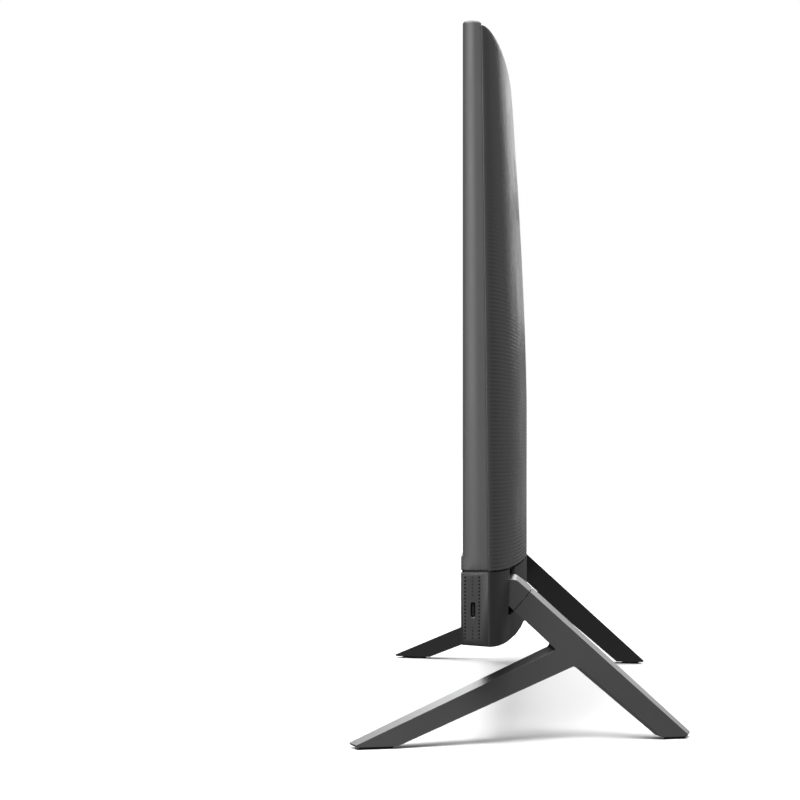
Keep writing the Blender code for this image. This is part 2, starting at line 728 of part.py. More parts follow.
def make_chassis(head):
    chassis = box("chassis_plate", (-262, 262), (-26.6, -25.6), (108, 414), "steel", head)
    for i, (x, z) in enumerate(BOARD_HOLES):
        join_rod(chassis, f"standoff_{i}", (x, -26.1, z), (x, -21.7, z), 3.2, 16)
        cut_rod(chassis, f"standoff_hole_{i}", (x, -25.0, z), (x, -20, z), 1.7, 12)
    cut_box(chassis, "cable_window", (110, 170), (-30, -20), (305, 330))
    for side, sign in (("left", -1), ("right", 1)):
        x = BRACKET_X * sign
        bracket = box(f"{side}_hinge_bracket", (x - 21, x + 21), (-25.3, -22.9), (80.5, 170), "steel", head)
        join_box(bracket, f"{side}_hinge_arm", (x - 9, x + 9), (-24, HINGE_Y), (80.5, 91.5))
        knuckle = [(x + off, HINGE_Y, HINGE_Z) for off in (-9.5, 9.5)]
        join_rod(bracket, f"{side}_hinge_knuckle", *knuckle, 7.5)
        bore = [(x + off, HINGE_Y, HINGE_Z) for off in (-15, 15)]
        cut_rod(bracket, f"{side}_hinge_bore", *bore, SHAFT_RADIUS + SHAFT_CLEARANCE)
        for i, z in enumerate(HINGE_HOLES):
            for target in (bracket, chassis):
                span = [(x, y, z) for y in (-30, -21)]
                cut_rod(target, f"{target.name}_{side}_hole_{i}", *span, 1.8, 12)
            make_screw(f"{side}_hinge_screw_{i + 1}", x, z, -22.6, -26.4, 1.4, head)


def make_electronics(head):
    board = box("mainboard", (-120, 100), (-21.4, -19.8), (128, 250), "circuit_board", head)
    for i, (x, z) in enumerate(BOARD_HOLES):
        cut_rod(board, f"board_hole_{i}", (x, -30, z), (x, -10, z), 1.7, 12)
        make_screw(f"mainboard_screw_{i + 1}", x, z, -19.5, -24.2, 1.3, head)
    box("memory_module_1", (18, 87.6), (-19.5, -15.7), (140, 170), "circuit_board", head)
    box("memory_module_2", (18, 87.6), (-19.5, -15.7), (174, 204), "circuit_board", head)
    box("solid_state_drive", (5, 85), (-19.5, -17.1), (212, 234), "circuit_board", head)
    box("wireless_card", (-100, -70), (-19.5, -17.2), (140, 162), "circuit_board", head)
    box("cpu_cold_plate", (-60, -15), (-19.5, -15.2), (195, 240), "copper", head)
    route = [
        (-33, -11.9, 198), (-33, -11.9, 238), (-33, -10.1, 285),
        (-33, -10.1, 320), (-47, -10.1, 336), (-106, -10.1, 336),
    ]
    piece("heat_pipe", tube_mesh(route, 3.0, 5), "copper", head, smooth=50)
    tray = box("hard_drive_bracket", (122, 198), (-25.3, -18.0), (187, 293), "steel", head)
    cut_box(tray, "tray_inside", (123.2, 196.8), (-24.1, 0), (180, 300))
    box("hard_drive", (125, 195), (-23.7, -16.7), (190, 290), "aluminium", head)


def make_fin_stack(head):
    """A comb of thin fins on a base, with its channels running up."""
    low_x, high_x, count = -110.0, -40.0, 14
    pitch = (high_x - low_x) / count
    base_y, fin_y, wall = -23.2, -13.4, 1.2
    points = [(high_x, -24.6), (low_x, -24.6)]
    for i in range(count):
        x = low_x + i * pitch
        points += [(x, fin_y), (x + wall, fin_y), (x + wall, base_y), (x + pitch, base_y)]
    points[-1] = (high_x - wall, base_y)
    points += [(high_x - wall, fin_y), (high_x, fin_y)]
    bm = outline_mesh(points, 14)
    piece("fin_stack", bm, "aluminium", head, (0, 0, 336))


def make_fan(head, spin):
    low, high = -25.3, -13.2
    axis = [(FAN_X, y, FAN_Z) for y in (low, high)]
    housing = box("fan_housing", (FAN_X - 37, FAN_X + 37), (low, high), (256, 326), "black_plastic", head)
    cut_rod(housing, "fan_chamber", (FAN_X, low + 1, FAN_Z), (FAN_X, high - 1, FAN_Z), 28)
    cut_rod(housing, "fan_inlet", axis[0], (FAN_X, 0, FAN_Z), 19)
    cut_box(housing, "fan_outlet", (FAN_X - 30, FAN_X + 30), (low + 1, high - 1), (FAN_Z + 8, 340))
    join_rod(housing, "fan_floor", axis[0], (FAN_X, low + 1.2, FAN_Z), 22)
    join_rod(housing, "fan_pin", axis[0], (FAN_X, low + 8, FAN_Z), 2, 16)
    blades, hub, tip = 17, 11.0, 25.5
    points = []
    for i in range(blades):
        for radius, shift in ((hub, -0.1), (tip, 0.16), (tip, 0.2), (hub, -0.02)):
            angle = 2 * math.pi * i / blades + shift
            points.append((radius * math.cos(angle), radius * math.sin(angle)))
    bm = outline_mesh(points, 8.0)
    bmesh.ops.rotate(bm, verts=bm.verts, matrix=Matrix.Rotation(math.radians(90), 3, "X"))
    impeller = piece("fan_impeller", bm, "black_plastic", spin, (FAN_X, -19.3, FAN_Z))
    cut_rod(impeller, "impeller_bore", (FAN_X, -30, FAN_Z), (FAN_X, -16.9, FAN_Z), 2.15, 16)


def make_camera(head, lift):
    wide = CAMERA_HALF_WIDTH
    body = box("webcam_housing", (-wide, wide), CAMERA_Y, CAMERA_Z, "black_plastic", lift)
    bevel(body, 0.6)
    front = CAMERA_Y[0]
    cut_box(body, "window_pocket", (-22.3, 22.3), (front - 5, front + 1.3), (399.7, 413.3))
    box("webcam_window", (-22, 22), (front + 0.1, front + 1.0), (400, 413), "lens_glass", lift)
    rear = CAMERA_Y[1]
    guide = box("webcam_guide", (-32.4, 32.4), (-20, rear + 1.7), (372, 411), "black_plastic", head)
    cut_box(guide, "guide_inside", (-31.0, 31.0), (-40, rear + 0.5), (360, 430))


def make_power_button(press):
    cap = box("power_button", (BUTTON_X - 5.7, BUTTON_X + 5.7), (BUTTON_Y - 2.7, BUTTON_Y + 2.7),
              (60.9, 64.8), "black_plastic", press)
    join_box(cap, "button_flange", (BUTTON_X - 7.5, BUTTON_X + 7.5), (BUTTON_Y - 3.6, BUTTON_Y + 3.4), (64.1, 65.3))


# ---------------------------------------------------------------- the whole object

clear_scene()
PARTS = new_collection("all_in_one_computer")
CUTTERS = new_collection("cutters")
MATERIALS = {slot: new_material(slot) for slot in COLOURS}

stand_root = new_pivot("stand", 0, 0, 0)
head_pivot = new_pivot("display_tilt", 0, HINGE_Y, HINGE_Z, stand_root)
camera_lift = new_pivot("webcam_lift", 0, CAMERA_Y[0], CAMERA_Z[1], head_pivot)
fan_spin = new_pivot("fan_spin", FAN_X, -19.3, FAN_Z, head_pivot)
button_press = new_pivot("power_button_press", BUTTON_X, BUTTON_Y, 60.9, head_pivot)

make_stand(stand_root)
make_middle_frame(head_pivot)
make_screen(head_pivot)
make_back_cover(head_pivot)
make_speaker_bar(head_pivot)
make_lower_housing(head_pivot)
make_rear_ports(head_pivot)
make_side_ports(head_pivot)
make_chassis(head_pivot)
make_electronics(head_pivot)
make_fin_stack(head_pivot)
make_fan(head_pivot, fan_spin)
make_camera(head_pivot, camera_lift)
make_power_button(button_press)
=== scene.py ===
"""Looks of the all-in-one desktop computer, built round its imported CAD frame.

Sizes are in millimetres and are scaled to metres when a mesh is made. +X is the user's right,
-Y is where the screen faces and +Z is up.
"""

import json
import math

import bmesh
import bpy
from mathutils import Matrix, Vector


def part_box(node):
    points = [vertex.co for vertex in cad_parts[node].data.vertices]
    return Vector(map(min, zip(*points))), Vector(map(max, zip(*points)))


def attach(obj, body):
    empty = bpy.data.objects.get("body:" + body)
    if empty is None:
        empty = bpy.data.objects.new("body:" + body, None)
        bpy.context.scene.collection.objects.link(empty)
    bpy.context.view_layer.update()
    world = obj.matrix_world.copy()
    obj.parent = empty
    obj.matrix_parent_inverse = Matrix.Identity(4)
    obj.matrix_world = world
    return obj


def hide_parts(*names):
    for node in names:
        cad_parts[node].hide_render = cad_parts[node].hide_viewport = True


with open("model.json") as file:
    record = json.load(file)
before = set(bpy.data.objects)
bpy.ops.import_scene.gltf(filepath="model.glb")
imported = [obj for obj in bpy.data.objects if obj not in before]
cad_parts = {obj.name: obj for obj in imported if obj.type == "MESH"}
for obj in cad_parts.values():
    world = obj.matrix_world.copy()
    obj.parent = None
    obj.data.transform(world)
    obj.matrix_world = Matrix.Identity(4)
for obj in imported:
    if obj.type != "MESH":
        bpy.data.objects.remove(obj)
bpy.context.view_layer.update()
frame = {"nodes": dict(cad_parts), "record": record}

MM = 0.001


def node_span(node, axis):
    """(low, high) of a CAD node along an axis, in millimetres."""
    low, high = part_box(node)
    return low[axis] / MM, high[axis] / MM


def node_spans(node):
    """The (low, high) of a CAD node along X, along Y and along Z."""
    return [node_span(node, axis) for axis in (X, Y, Z)]


X, Y, Z = 0, 1, 2
GAP = 0.3                        # between faces that would touch

# Driving sizes that the frame gives
HALF_WIDTH = node_span("middle_frame", X)[1]
FRONT_Y = node_span("front_bezel", Y)[0] - 0.2
SEAM_HIGH_Z, TOP_Z = node_span("middle_frame", Z)
COVER_TOP_Z = node_span("back_cover", Z)[1]
REAR_Y = node_span("back_cover", Y)[1]
CHIN_Y, CHIN_REAR_Y = node_span("chin_strip", Y)
CHIN_TOP_Z = node_span("chin_strip", Z)[1]
BAR_REAR_Y = node_span("speaker_bar_housing", Y)[1]
SEAM_LOW_Z = node_span("speaker_bar_housing", Z)[1]
LOWER_Z = node_span("lower_rear_housing", Z)[0]
HALF_DEPTH = node_span("right_leg", Y)[1]
FOOT_Z = node_span("right_leg", Z)[0]
PAD_HEIGHT = node_span("right_front_foot_pad", Z)[1]
HINGE_Y = sum(node_span("stand_crossbar", Y)) / 2
HINGE_Z = sum(node_span("stand_crossbar", Z)) / 2
SOCKET_Y = sum(node_span("usb_c_port", Y)) / 2
SOCKET_Z = sum(node_span("usb_c_port", Z)) / 2

# Side frame
FRAME_DEPTH_LOW = 14.8
FRAME_DEPTH_TOP = 10.7
FRAME_WALL = 2.3
FRAME_CROWN = 0.8
FRAME_FRONT_RADIUS = 1.6
FRAME_REAR_RADIUS = 0.15
FRAME_TOP_REAR_RADIUS = 1.7
FRAME_CORNER_RADIUS = 1.8
CHIN_SLOPE = 2.7                 # height over which the sides swell out to the chin
CHIN_ROUND = 0.6
CHIN_END_RADIUS = 0.7

# Black border round the panel
BEZEL_SIDE = 3.9
BEZEL_TOP = 3.7
BEZEL_BOTTOM = 7.6
BEZEL_CHAMFER = 0.7

# Back cover
COVER_DEPTH = REAR_Y - FRONT_Y
COVER_TOP_DEPTH = 28.9
TAPER_START_Z = 202.0
COVER_WALL = 2.0
COVER_EDGE = 0.45
COVER_STEP = 0.2                 # the frame's rear edge stands this far proud of the cover
HAIRLINE = 0.06                  # the joint between two mouldings that meet
PLAN_POWER = 0.48
CROWN_HEIGHT = 8.0
CROWN_POWER = 0.12
CROWN_ROWS = 16
CROWN_CLOSING = 3.2              # the higher, the closer the rows lie to the top edge
SIDE_CLOSING = 2.6               # the higher, the closer the columns lie to the side edges
RIB_PITCH = 2.3
RIB_DEPTH = 0.11
RIB_FADE_Z = (410.0, 250.0)      # the ribs grow from nothing to full depth between these
VENT_HALF_WIDTH = 150.0
VENT_Z = (322.0, 362.0)
VENT_LENGTH = 25.0
VENT_BRIDGE = 5.0
WEBCAM_SLOT_GAP = 0.4
WEBCAM_SLOT_Z = (405.0, 430.0)

# Speaker bar and lower rear housing
BAR_FRONT_LOW_Z = 60.0
BAR_REAR_LOW_Z = 58.9
BAR_WALL = 2.0
BAR_ROUND = 0.7
BAR_FRONT_CHAMFER = 0.9
SEAM_CHAMFER = 0.5
BAR_HOLLOW_Z = (63.5, 110.0)     # from the bar's floor out through its open top
GRILLE_OPENING_Y = (-40.0, -33.0)
BUTTON_WELL_Z = (55.0, 66.0)
BUTTON_LEDGE = (1.5, 0.6)        # how far the button's rim hides behind the well, along X and Y
LOWER_ROUND = 6.5
LOWER_ROUND_POWER = 1.6
LOWER_ROUND_STEPS = 14
IO_PANEL_GAP = 0.4
IO_OPENING_REAR_Y = 20.0
IO_OPENING_LOW_Z = 40.0
PAST = 10.0                      # what is cut out runs this far past the faces it opens
GASKET_INSET = 2.0
HOLE_RADIUS = 0.5
HOLE_MIDDLE_SHARE = 0.7          # the middle column's holes are this much of the others
HOLE_ROWS = 18
HOLE_TOP_Z = 99.3
HOLE_PITCH = 2.07
HOLE_COLUMNS_Y = (-33.7, -29.4, -25.5)
HOLE_REACH = 3.5                 # the cutters run this far either side of the end face
SOCKET_CLEARANCE = 8.0           # no holes in the middle column nearer to the socket than this
USB_C_MOUTH = (2.2, 8.4)
USB_C_RECESS = 0.9
USB_C_SHELL = 0.3
USB_C_TONGUE = (0.7, 6.7)
USB_C_WEB = 1.0                  # the floor that the tongue stands on
HEADSET_MOUTH = 6.4
SHORT_STRAIGHT = 0.01            # what an arc leaves of a side that is round all the way

# Legs
LEG_X = 254.0
LEG_TOE = 0.25
LEG_SPLAY = 0.28
LEG_THICKNESS = 12.5
LEG_CREST = 2.3
LEG_BEVEL = 0.3
SEAM_TOP = Vector((4.5, 88.2))
SEAM_BOTTOM = Vector((-5.1, 77.4))
SEAM_AXIS = Vector((0.743, -0.669))
CREST = Vector((0.669, 0.743)) * LEG_CREST
LEG_INNER_CORNER = (20.2, 53.9)
LEG_RAISED_CORNER = (18.0, 56.2)
LEG_ARCH = (32.5, 44.8)
LEG_INNER_ARCH = (30.1, 43.8)
LEG_DRAFT = 3.6                  # the rear heel reaches this much further on the inner face
FRONT_TOE_Y = -96.5
FRONT_HEEL_Y = -72.6
REAR_HEEL_Y = 83.5
REAR_TOE_Y = 99.2
TOE_HEIGHT = 1.3
SLOT_MARGIN = 6.0                # between the stub's faces and the slot's sides
SLOT_LOW_Z = 75.0
SLOT_Y = (-17.0, 10.0)
SLOT_PLANE_Y = -9.0              # the slot's sides follow the leg's plane here
HUB_X = (212.0, 224.5)
HUB_RADIUS = 6.5
HUB_CHAMFER = 0.5
BORE_X = (205.0, 235.0)
BORE_RADIUS = 4.3
PAD_INSET = 2.0

# Camera, on the user's right
CAMERA_PLACE = (1518.0, -11.1, 175.0)
CAMERA_LENS = 96.75
CAMERA_SHIFT = (-0.13, 0.0588)

# Studio
FLOOR_HALF_WIDTH = 30000.0
FLOOR_COLOUR = (0.78, 0.78, 0.78, 1)
FLOOR_ROUGHNESS = 0.12
FLOOR_GLOSS = 0.06
ROOM_LIGHT = 0.12
SUN_STRENGTH = 4.4
SUN_SPREAD = 70.0
SUN_TILT = -8.0
SOFTBOXES = (                    # name, place, target, width, height, radiance, part of looks
    ("glow_high", (-2600, -120, 1400), (0, 0, 300), 1300, 1500, 2.4, "glossy"),
    ("glow_middle", (-2600, -50, 540), (0, 0, 300), 1200, 260, 1.2, "glossy"),
    ("glow_low", (-2600, -50, 200), (0, 0, 200), 1200, 420, 0.33, "glossy"),
    ("fill", (2300, 500, 250), (200, 0, 150), 1500, 1200, 1.6, "matt"),
    ("leg_glow", (-2600, 0, 900), (0, 0, 50), 2800, 1600, 1.0, "glossy"),
    ("key", (1080, -760, 2300), (250, 0, 250), 1200, 1200, 13.0, "all"),
    ("side_strip", (2400, -300, 900), (250, 0, 250), 260, 1700, 13.5, "glossy"),
)


# ---------------------------------------------------------------- materials

def surface(slot, colour, roughness, metallic=0.0, **sockets):
    """A principled material, with any other sockets by name."""
    material = bpy.data.materials.new(f"look_{slot}")
    material.use_nodes = True
    shader = material.node_tree.nodes["Principled BSDF"]
    shader.inputs["Base Color"].default_value = (*colour, 1.0)
    shader.inputs["Roughness"].default_value = roughness
    shader.inputs["Metallic"].default_value = metallic
    for name, value in sockets.items():
        shader.inputs[name.replace("_", " ")].default_value = value
    return material


def shader_of(material):
    return material.node_tree.nodes["Principled BSDF"]


def add_node(material, kind, **values):
    """A node of the kind, with each named value set as a property or else on an input."""
    node = material.node_tree.nodes.new(kind)
    for name, value in values.items():
        if name in node.inputs:
            node.inputs[name].default_value = value
        else:
            setattr(node, name, value)
    return node


def join(material, start, end):
    material.node_tree.links.new(start, end)


def place(material, stretch=(1.0, 1.0, 1.0)):
    """Object coordinates in millimetres, divided by the stretch along each axis."""
    coords = add_node(material, "ShaderNodeTexCoord")
    scale = add_node(material, "ShaderNodeMapping")
    scale.inputs["Scale"].default_value = [1 / (MM * s) for s in stretch]
    join(material, coords.outputs["Object"], scale.inputs["Vector"])
    return scale.outputs["Vector"]


def noise(material, size, detail=3.0, stretch=(1.0, 1.0, 1.0)):
    """Soft noise whose features are about size millimetres across."""
    node = add_node(material, "ShaderNodeTexNoise", Scale=1 / size, Detail=detail)
    join(material, place(material, stretch), node.inputs["Vector"])
    return node.outputs["Fac"]


def cells(material, size):
    """Voronoi cells about size millimetres across."""
    node = add_node(material, "ShaderNodeTexVoronoi", Scale=1 / size)
    join(material, place(material), node.inputs["Vector"])
    return node


def remap(material, value, low, high, source=(0.3, 0.7)):
    """The value brought from the source's range to run from low to high."""
    node = add_node(material, "ShaderNodeMapRange")
    join(material, value, node.inputs["Value"])
    limits = {"From Min": source[0], "From Max": source[1], "To Min": low, "To Max": high}
    for name, limit in limits.items():
        node.inputs[name].default_value = limit
    return node.outputs["Result"]


def combine(material, operation, a, b):
    """Maths on two sockets, or on a socket and a number."""
    node = add_node(material, "ShaderNodeMath", operation=operation)
    for value, socket in zip((a, b), node.inputs):
        if isinstance(value, (int, float)):
            socket.default_value = value
        else:
            join(material, value, socket)
    return node.outputs["Value"]


def mix_colours(material, factor, a, b):
    """A colour between two, each a tuple or a socket. A mix's colour sockets have no own names."""
    node = add_node(material, "ShaderNodeMix", data_type="RGBA")
    join(material, factor, node.inputs["Factor"])
    for value, socket in ((a, node.inputs[6]), (b, node.inputs[7])):
        if isinstance(value, tuple):
            socket.default_value = (*value, 1.0)
        else:
            join(material, value, socket)
    return node.outputs[2]


def tint(material, factor, a, b):
    """The base colour runs from a to b with the factor."""
    colour = mix_colours(material, factor, a, b)
    join(material, colour, shader_of(material).inputs["Base Color"])


def shades(colour, spread):
    """The colour a share darker and the same share lighter."""
    return tuple(c * (1 - spread) for c in colour), tuple(c * (1 + spread) for c in colour)


def roughen(material, value, low, high):
    join(material, remap(material, value, low, high), shader_of(material).inputs["Roughness"])


def emboss(material, height, depth):
    """Relief of the given depth in millimetres."""
    bump = add_node(material, "ShaderNodeBump", Distance=depth * MM, Strength=1.0)
    join(material, height, bump.inputs["Height"])
    join(material, bump.outputs["Normal"], shader_of(material).inputs["Normal"])


def moulded(slot, colour, roughness, grain=0.35, depth=0.012, spread=0.05, **sockets):
    """Spark-textured plastic or paint: a fine grain, with a slow drift in tone and gloss."""
    material = surface(slot, colour, roughness, **sockets)
    fine = noise(material, grain, 2.0)
    slow = noise(material, 45.0, 3.0)
    mottled = combine(material, "ADD", combine(material, "MULTIPLY", fine, 0.5),
                      combine(material, "MULTIPLY", slow, 0.5))
    tint(material, remap(material, mottled, 0.0, 1.0), *shades(colour, spread))
    roughen(material, mottled, roughness - 0.05, roughness + 0.06)
    emboss(material, fine, depth)
    return material


def brushed(slot, colour, roughness, stretch):
    """Metal with fine lines drawn out along one axis."""
    material = surface(slot, colour, roughness, 1.0)
    lines = noise(material, 0.25, 4.0, stretch)
    patches = noise(material, 18.0, 2.0)
    tint(material, remap(material, patches, 0.0, 1.0), *shades(colour, 0.07))
    roughen(material, lines, roughness - 0.08, roughness + 0.1)
    emboss(material, lines, 0.004)
    return material


def zinc_steel(slot):
    """Galvanised sheet, with its spangle."""
    colour = (0.5, 0.505, 0.52)
    material = surface(slot, colour, 0.36, 1.0)
    spangle = cells(material, 3.0)
    tint(material, spangle.outputs["Color"], *shades(colour, 0.1))
    roughen(material, noise(material, 2.0), 0.28, 0.46)
    emboss(material, noise(material, 0.4), 0.006)
    return material


def circuit_board(slot):
    """Solder mask over copper tracks, with plated pads."""
    mask, track, pad = (0.006, 0.045, 0.024), (0.012, 0.085, 0.045), (0.65, 0.47, 0.2)
    material = surface(slot, mask, 0.35, Coat_Weight=0.3)
    tracks = add_node(material, "ShaderNodeTexBrick", Scale=0.35, offset=0.37)
    tracks.inputs["Mortar Size"].default_value = 0.03
    turn = add_node(material, "ShaderNodeMapping")
    turn.inputs["Rotation"].default_value = (math.pi / 2, 0, 0)
    join(material, place(material), turn.inputs["Vector"])
    join(material, turn.outputs["Vector"], tracks.inputs["Vector"])
    board = mix_colours(material, tracks.outputs["Fac"], mask, track)
    dots = cells(material, 2.6)
    plated = remap(material, dots.outputs["Distance"], 1.0, 0.0, (0.12, 0.16))
    tint(material, plated, board, pad)
    join(material, plated, shader_of(material).inputs["Metallic"])
    emboss(material, tracks.outputs["Fac"], 0.03)
    return material


def woven(slot):
    """Knitted speaker cloth: two sets of threads that pass over and under each other."""
    dark, light = (0.018, 0.018, 0.019), (0.05, 0.05, 0.052)
    material = surface(slot, dark, 0.85, Sheen_Weight=0.35, Sheen_Roughness=0.4)
    waves = []
    for axis in ("X", "Z"):
        wave = add_node(material, "ShaderNodeTexWave", bands_direction=axis, Scale=0.45)
        wave.inputs["Distortion"].default_value = 0.25
        join(material, place(material), wave.inputs["Vector"])
        waves.append(wave.outputs["Fac"])
    weave = combine(material, "MULTIPLY", *waves)
    fuzz = noise(material, 0.2, 4.0)
    height = combine(material, "ADD", weave, combine(material, "MULTIPLY", fuzz, 0.3))
    tint(material, remap(material, height, 0.0, 1.0, (0.1, 1.0)), dark, light)
    emboss(material, height, 0.18)
    return material


def panel_glass(slot):
    """The switched-off panel: black behind a matt film that scatters a little."""
    colour = (0.0045, 0.0048, 0.0058)
    material = surface(slot, colour, 0.2, Coat_Weight=0.25, Coat_Roughness=0.08)
    tint(material, remap(material, noise(material, 60.0), 0.0, 1.0), *shades(colour, 0.12))
    film = noise(material, 0.12, 2.0)
    roughen(material, film, 0.17, 0.26)
    emboss(material, film, 0.002)
    return material


def camera_glass(slot):
    colour = (0.006, 0.006, 0.009)
    material = surface(slot, colour, 0.05, Coat_Weight=1.0, Coat_Roughness=0.02)
    smear = noise(material, 6.0, 4.0)
    tint(material, remap(material, smear, 0.0, 1.0), *shades(colour, 0.2))
    roughen(material, smear, 0.03, 0.09)
    return material


LOOKS = {
    "frame_plastic": moulded("frame_plastic", (0.108, 0.108, 0.11), 0.36),
    "cover_plastic": moulded("cover_plastic", (0.067, 0.067, 0.069), 0.27),
    "bar_plastic": moulded("bar_plastic", (0.033, 0.033, 0.035), 0.36),
    "leg_metal": moulded("leg_metal", (0.041, 0.041, 0.043), 0.34, grain=0.2, depth=0.006,
                         Coat_Weight=0.8, Coat_Roughness=0.35),
    "rubber": moulded("rubber", (0.014, 0.014, 0.014), 0.78, grain=0.5, depth=0.03, spread=0.2),
    "screen_black": panel_glass("screen_black"),
    "bezel_black": moulded("bezel_black", (0.012, 0.012, 0.013), 0.4),
    "backlight_tray": brushed("backlight_tray", (0.62, 0.62, 0.64), 0.42, (1, 1, 40)),
    "steel": zinc_steel("steel"),
    "aluminium": brushed("aluminium", (0.7, 0.71, 0.73), 0.34, (40, 1, 1)),
    "copper": brushed("copper", (0.72, 0.36, 0.2), 0.3, (1, 1, 30)),
    "circuit_board": circuit_board("circuit_board"),
    "black_plastic": moulded("black_plastic", (0.02, 0.02, 0.021), 0.46, spread=0.1),
    "port_metal": brushed("port_metal", (0.55, 0.55, 0.57), 0.28, (1, 30, 1)),
    "grille_fabric": woven("grille_fabric"),
    "lens_glass": camera_glass("lens_glass"),
}


def finish_cad_nodes():
    """Gives every CAD node the look of the slot that the record names for it."""
    for entry in frame["record"]["subparts"]:
        for material_slot in frame["nodes"][entry["node"]].material_slots:
            material_slot.material = LOOKS[entry["material_slot"]]


# ---------------------------------------------------------------- mesh helpers

KNIFE_EDGE = 110                 # degrees of turn past which an edge is left sharp
TURNED_SIDES = 32


def mesh_object(name, bm):
    """An object in metres from a mesh in millimetres."""
    bmesh.ops.recalc_face_normals(bm, faces=bm.faces)
    bmesh.ops.scale(bm, vec=(MM, MM, MM), verts=bm.verts)
    mesh = bpy.data.meshes.new(name)
    bm.to_mesh(mesh)
    bm.free()
    obj = bpy.data.objects.new(name, mesh)
    bpy.context.scene.collection.objects.link(obj)
    return obj


def keep(obj, slot, body, *replaced, angle=35):
    """Finishes a piece: its look, its shading, the body it rides on and what it replaces."""
    obj.data.materials.clear()
    obj.data.materials.append(LOOKS[slot])
    obj.data.shade_smooth()
    obj.data.set_sharp_from_angle(angle=math.radians(angle))
    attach(obj, body)
    if replaced:
        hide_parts(*replaced)
    return obj


def bevelled(obj, width, segments=3, angle=35, last_y=1000.0):
    """Rounds the edges that turn by more than angle, as far back as last_y."""
    bm = bmesh.new()
    bm.from_mesh(obj.data)
    weights = bm.edges.layers.float.new("bevel_weight_edge")
    for edge in bm.edges:
        turn = math.degrees(edge.calc_face_angle(0.0))
        behind = min(vertex.co.y for vertex in edge.verts) > last_y * MM
        edge[weights] = 1.0 if angle < turn < KNIFE_EDGE and not behind else 0.0
    bm.to_mesh(obj.data)
    bm.free()
    modifier = obj.modifiers.new("edges", "BEVEL")
    modifier.width = width * MM
    modifier.segments = segments
    modifier.limit_method = "WEIGHT"
    return settle(obj)


def even_shading(obj):
    """Keeps broad flat faces flat, so that only the rounded edges shade from one to the next."""
    obj.modifiers.new("normals", "WEIGHTED_NORMAL").keep_sharp = True
    return settle(obj)


def settle(obj):
    """Applies the object's modifiers."""
    bpy.context.view_layer.update()
    graph = bpy.context.evaluated_depsgraph_get()
    mesh = bpy.data.meshes.new_from_object(obj.evaluated_get(graph), depsgraph=graph)
    obj.modifiers.clear()
    old, obj.data = obj.data, mesh
    bpy.data.meshes.remove(old)
    return obj


def cut(obj, cutter, operation="DIFFERENCE"):
    """Applies a Boolean and removes the cutter."""
    modifier = obj.modifiers.new("cut", "BOOLEAN")
    modifier.operation = operation
    modifier.object = cutter
    settle(obj)
    mesh = cutter.data
    bpy.data.objects.remove(cutter)
    bpy.data.meshes.remove(mesh)
    return obj


def loft(rings, closed=True):
    """A body through rings of equal length, with flat ends if it is closed."""
    bm = bmesh.new()
    rows = [[bm.verts.new(point) for point in ring] for ring in rings]
    for lower, upper in zip(rows, rows[1:]):
        for i in range(len(lower)):
            j = (i + 1) % len(lower)
            bm.faces.new((lower[i], lower[j], upper[j], upper[i]))
    if closed:
        bm.faces.new(rows[0])
        bm.faces.new(rows[-1])
    return bm


def ring_loft(rings):
    """A loft whose last ring joins its first."""
    bm = loft(rings, closed=False)
    bm.verts.ensure_lookup_table()
    count = len(rings[0])
    first, last = bm.verts[:count], bm.verts[-count:]
    for i in range(count):
        j = (i + 1) % count
        bm.faces.new((last[i], last[j], first[j], first[i]))
    return bm


def sided(bm, side):
    """A right-hand mesh as it is, or mirrored for the left."""
    if side == "left":
        bmesh.ops.scale(bm, vec=(-1, 1, 1), verts=bm.verts)
        bmesh.ops.reverse_faces(bm, faces=bm.faces)
    return bm


def box_cutter(x, y, z):
    """A box between the (low, high) limits along each axis."""
    bm = bmesh.new()
    bmesh.ops.create_cube(bm, size=1)
    bmesh.ops.scale(bm, vec=[high - low for low, high in (x, y, z)], verts=bm.verts)
    centre = [(low + high) / 2 for low, high in (x, y, z)]
    bmesh.ops.translate(bm, vec=centre, verts=bm.verts)
    return mesh_object("cutter", bm)


def circle(centre, radius, count, axis):
    """Points round a centre, in the plane square to the axis."""
    points = []
    across, up = [(Y, Z), (X, Z), (X, Y)][axis]
    for i in range(count):
        angle = 2 * math.pi * i / count
        point = list(centre)
        point[across] += radius * math.cos(angle)
        point[up] += radius * math.sin(angle)
        points.append(tuple(point))
    return points


def turned(profile, centre, axis):
    """A round body about an axis through the centre, from (distance along it, radius) pairs."""
    rings = []
    for along, radius in profile:
        point = list(centre)
        point[axis] += along
        rings.append(circle(point, radius, TURNED_SIDES, axis))
    return loft(rings)


def rounded_rectangle(width, height, radius, steps=5):
    """(across, up) points of a rounded rectangle about the origin."""
    points = []
    for quarter in range(4):
        sign_x = 1 if quarter in (0, 3) else -1
        sign_y = 1 if quarter in (0, 1) else -1
        for step in range(steps + 1):
            angle = math.radians(90 * quarter + 90 * step / steps)
            x = sign_x * (width / 2 - radius) + radius * math.cos(angle)
            y = sign_y * (height / 2 - radius) + radius * math.sin(angle)
            points.append((x, y))
    return points


# ---------------------------------------------------------------- the casing's surfaces

def frame_depth(z):
    """How far the side frame reaches behind the front plane at a height."""
    rise = (z - SEAM_HIGH_Z) / (TOP_Z - SEAM_HIGH_Z)
    return FRAME_DEPTH_LOW + (FRAME_DEPTH_TOP - FRAME_DEPTH_LOW) * rise


def centre_depth(z):
    """How far the cover's middle reaches behind the front plane at a height."""
    rise = max(0.0, (z - TAPER_START_Z) / (TOP_Z - TAPER_START_Z))
    return COVER_DEPTH - (COVER_DEPTH - COVER_TOP_DEPTH) * rise ** 1.5


def swell(t, power):
    """A rise from 0 to 1 over the same range of t, quick at first and level at its end."""
    return (1 - (1 - min(t, 1.0)) ** 2) ** power


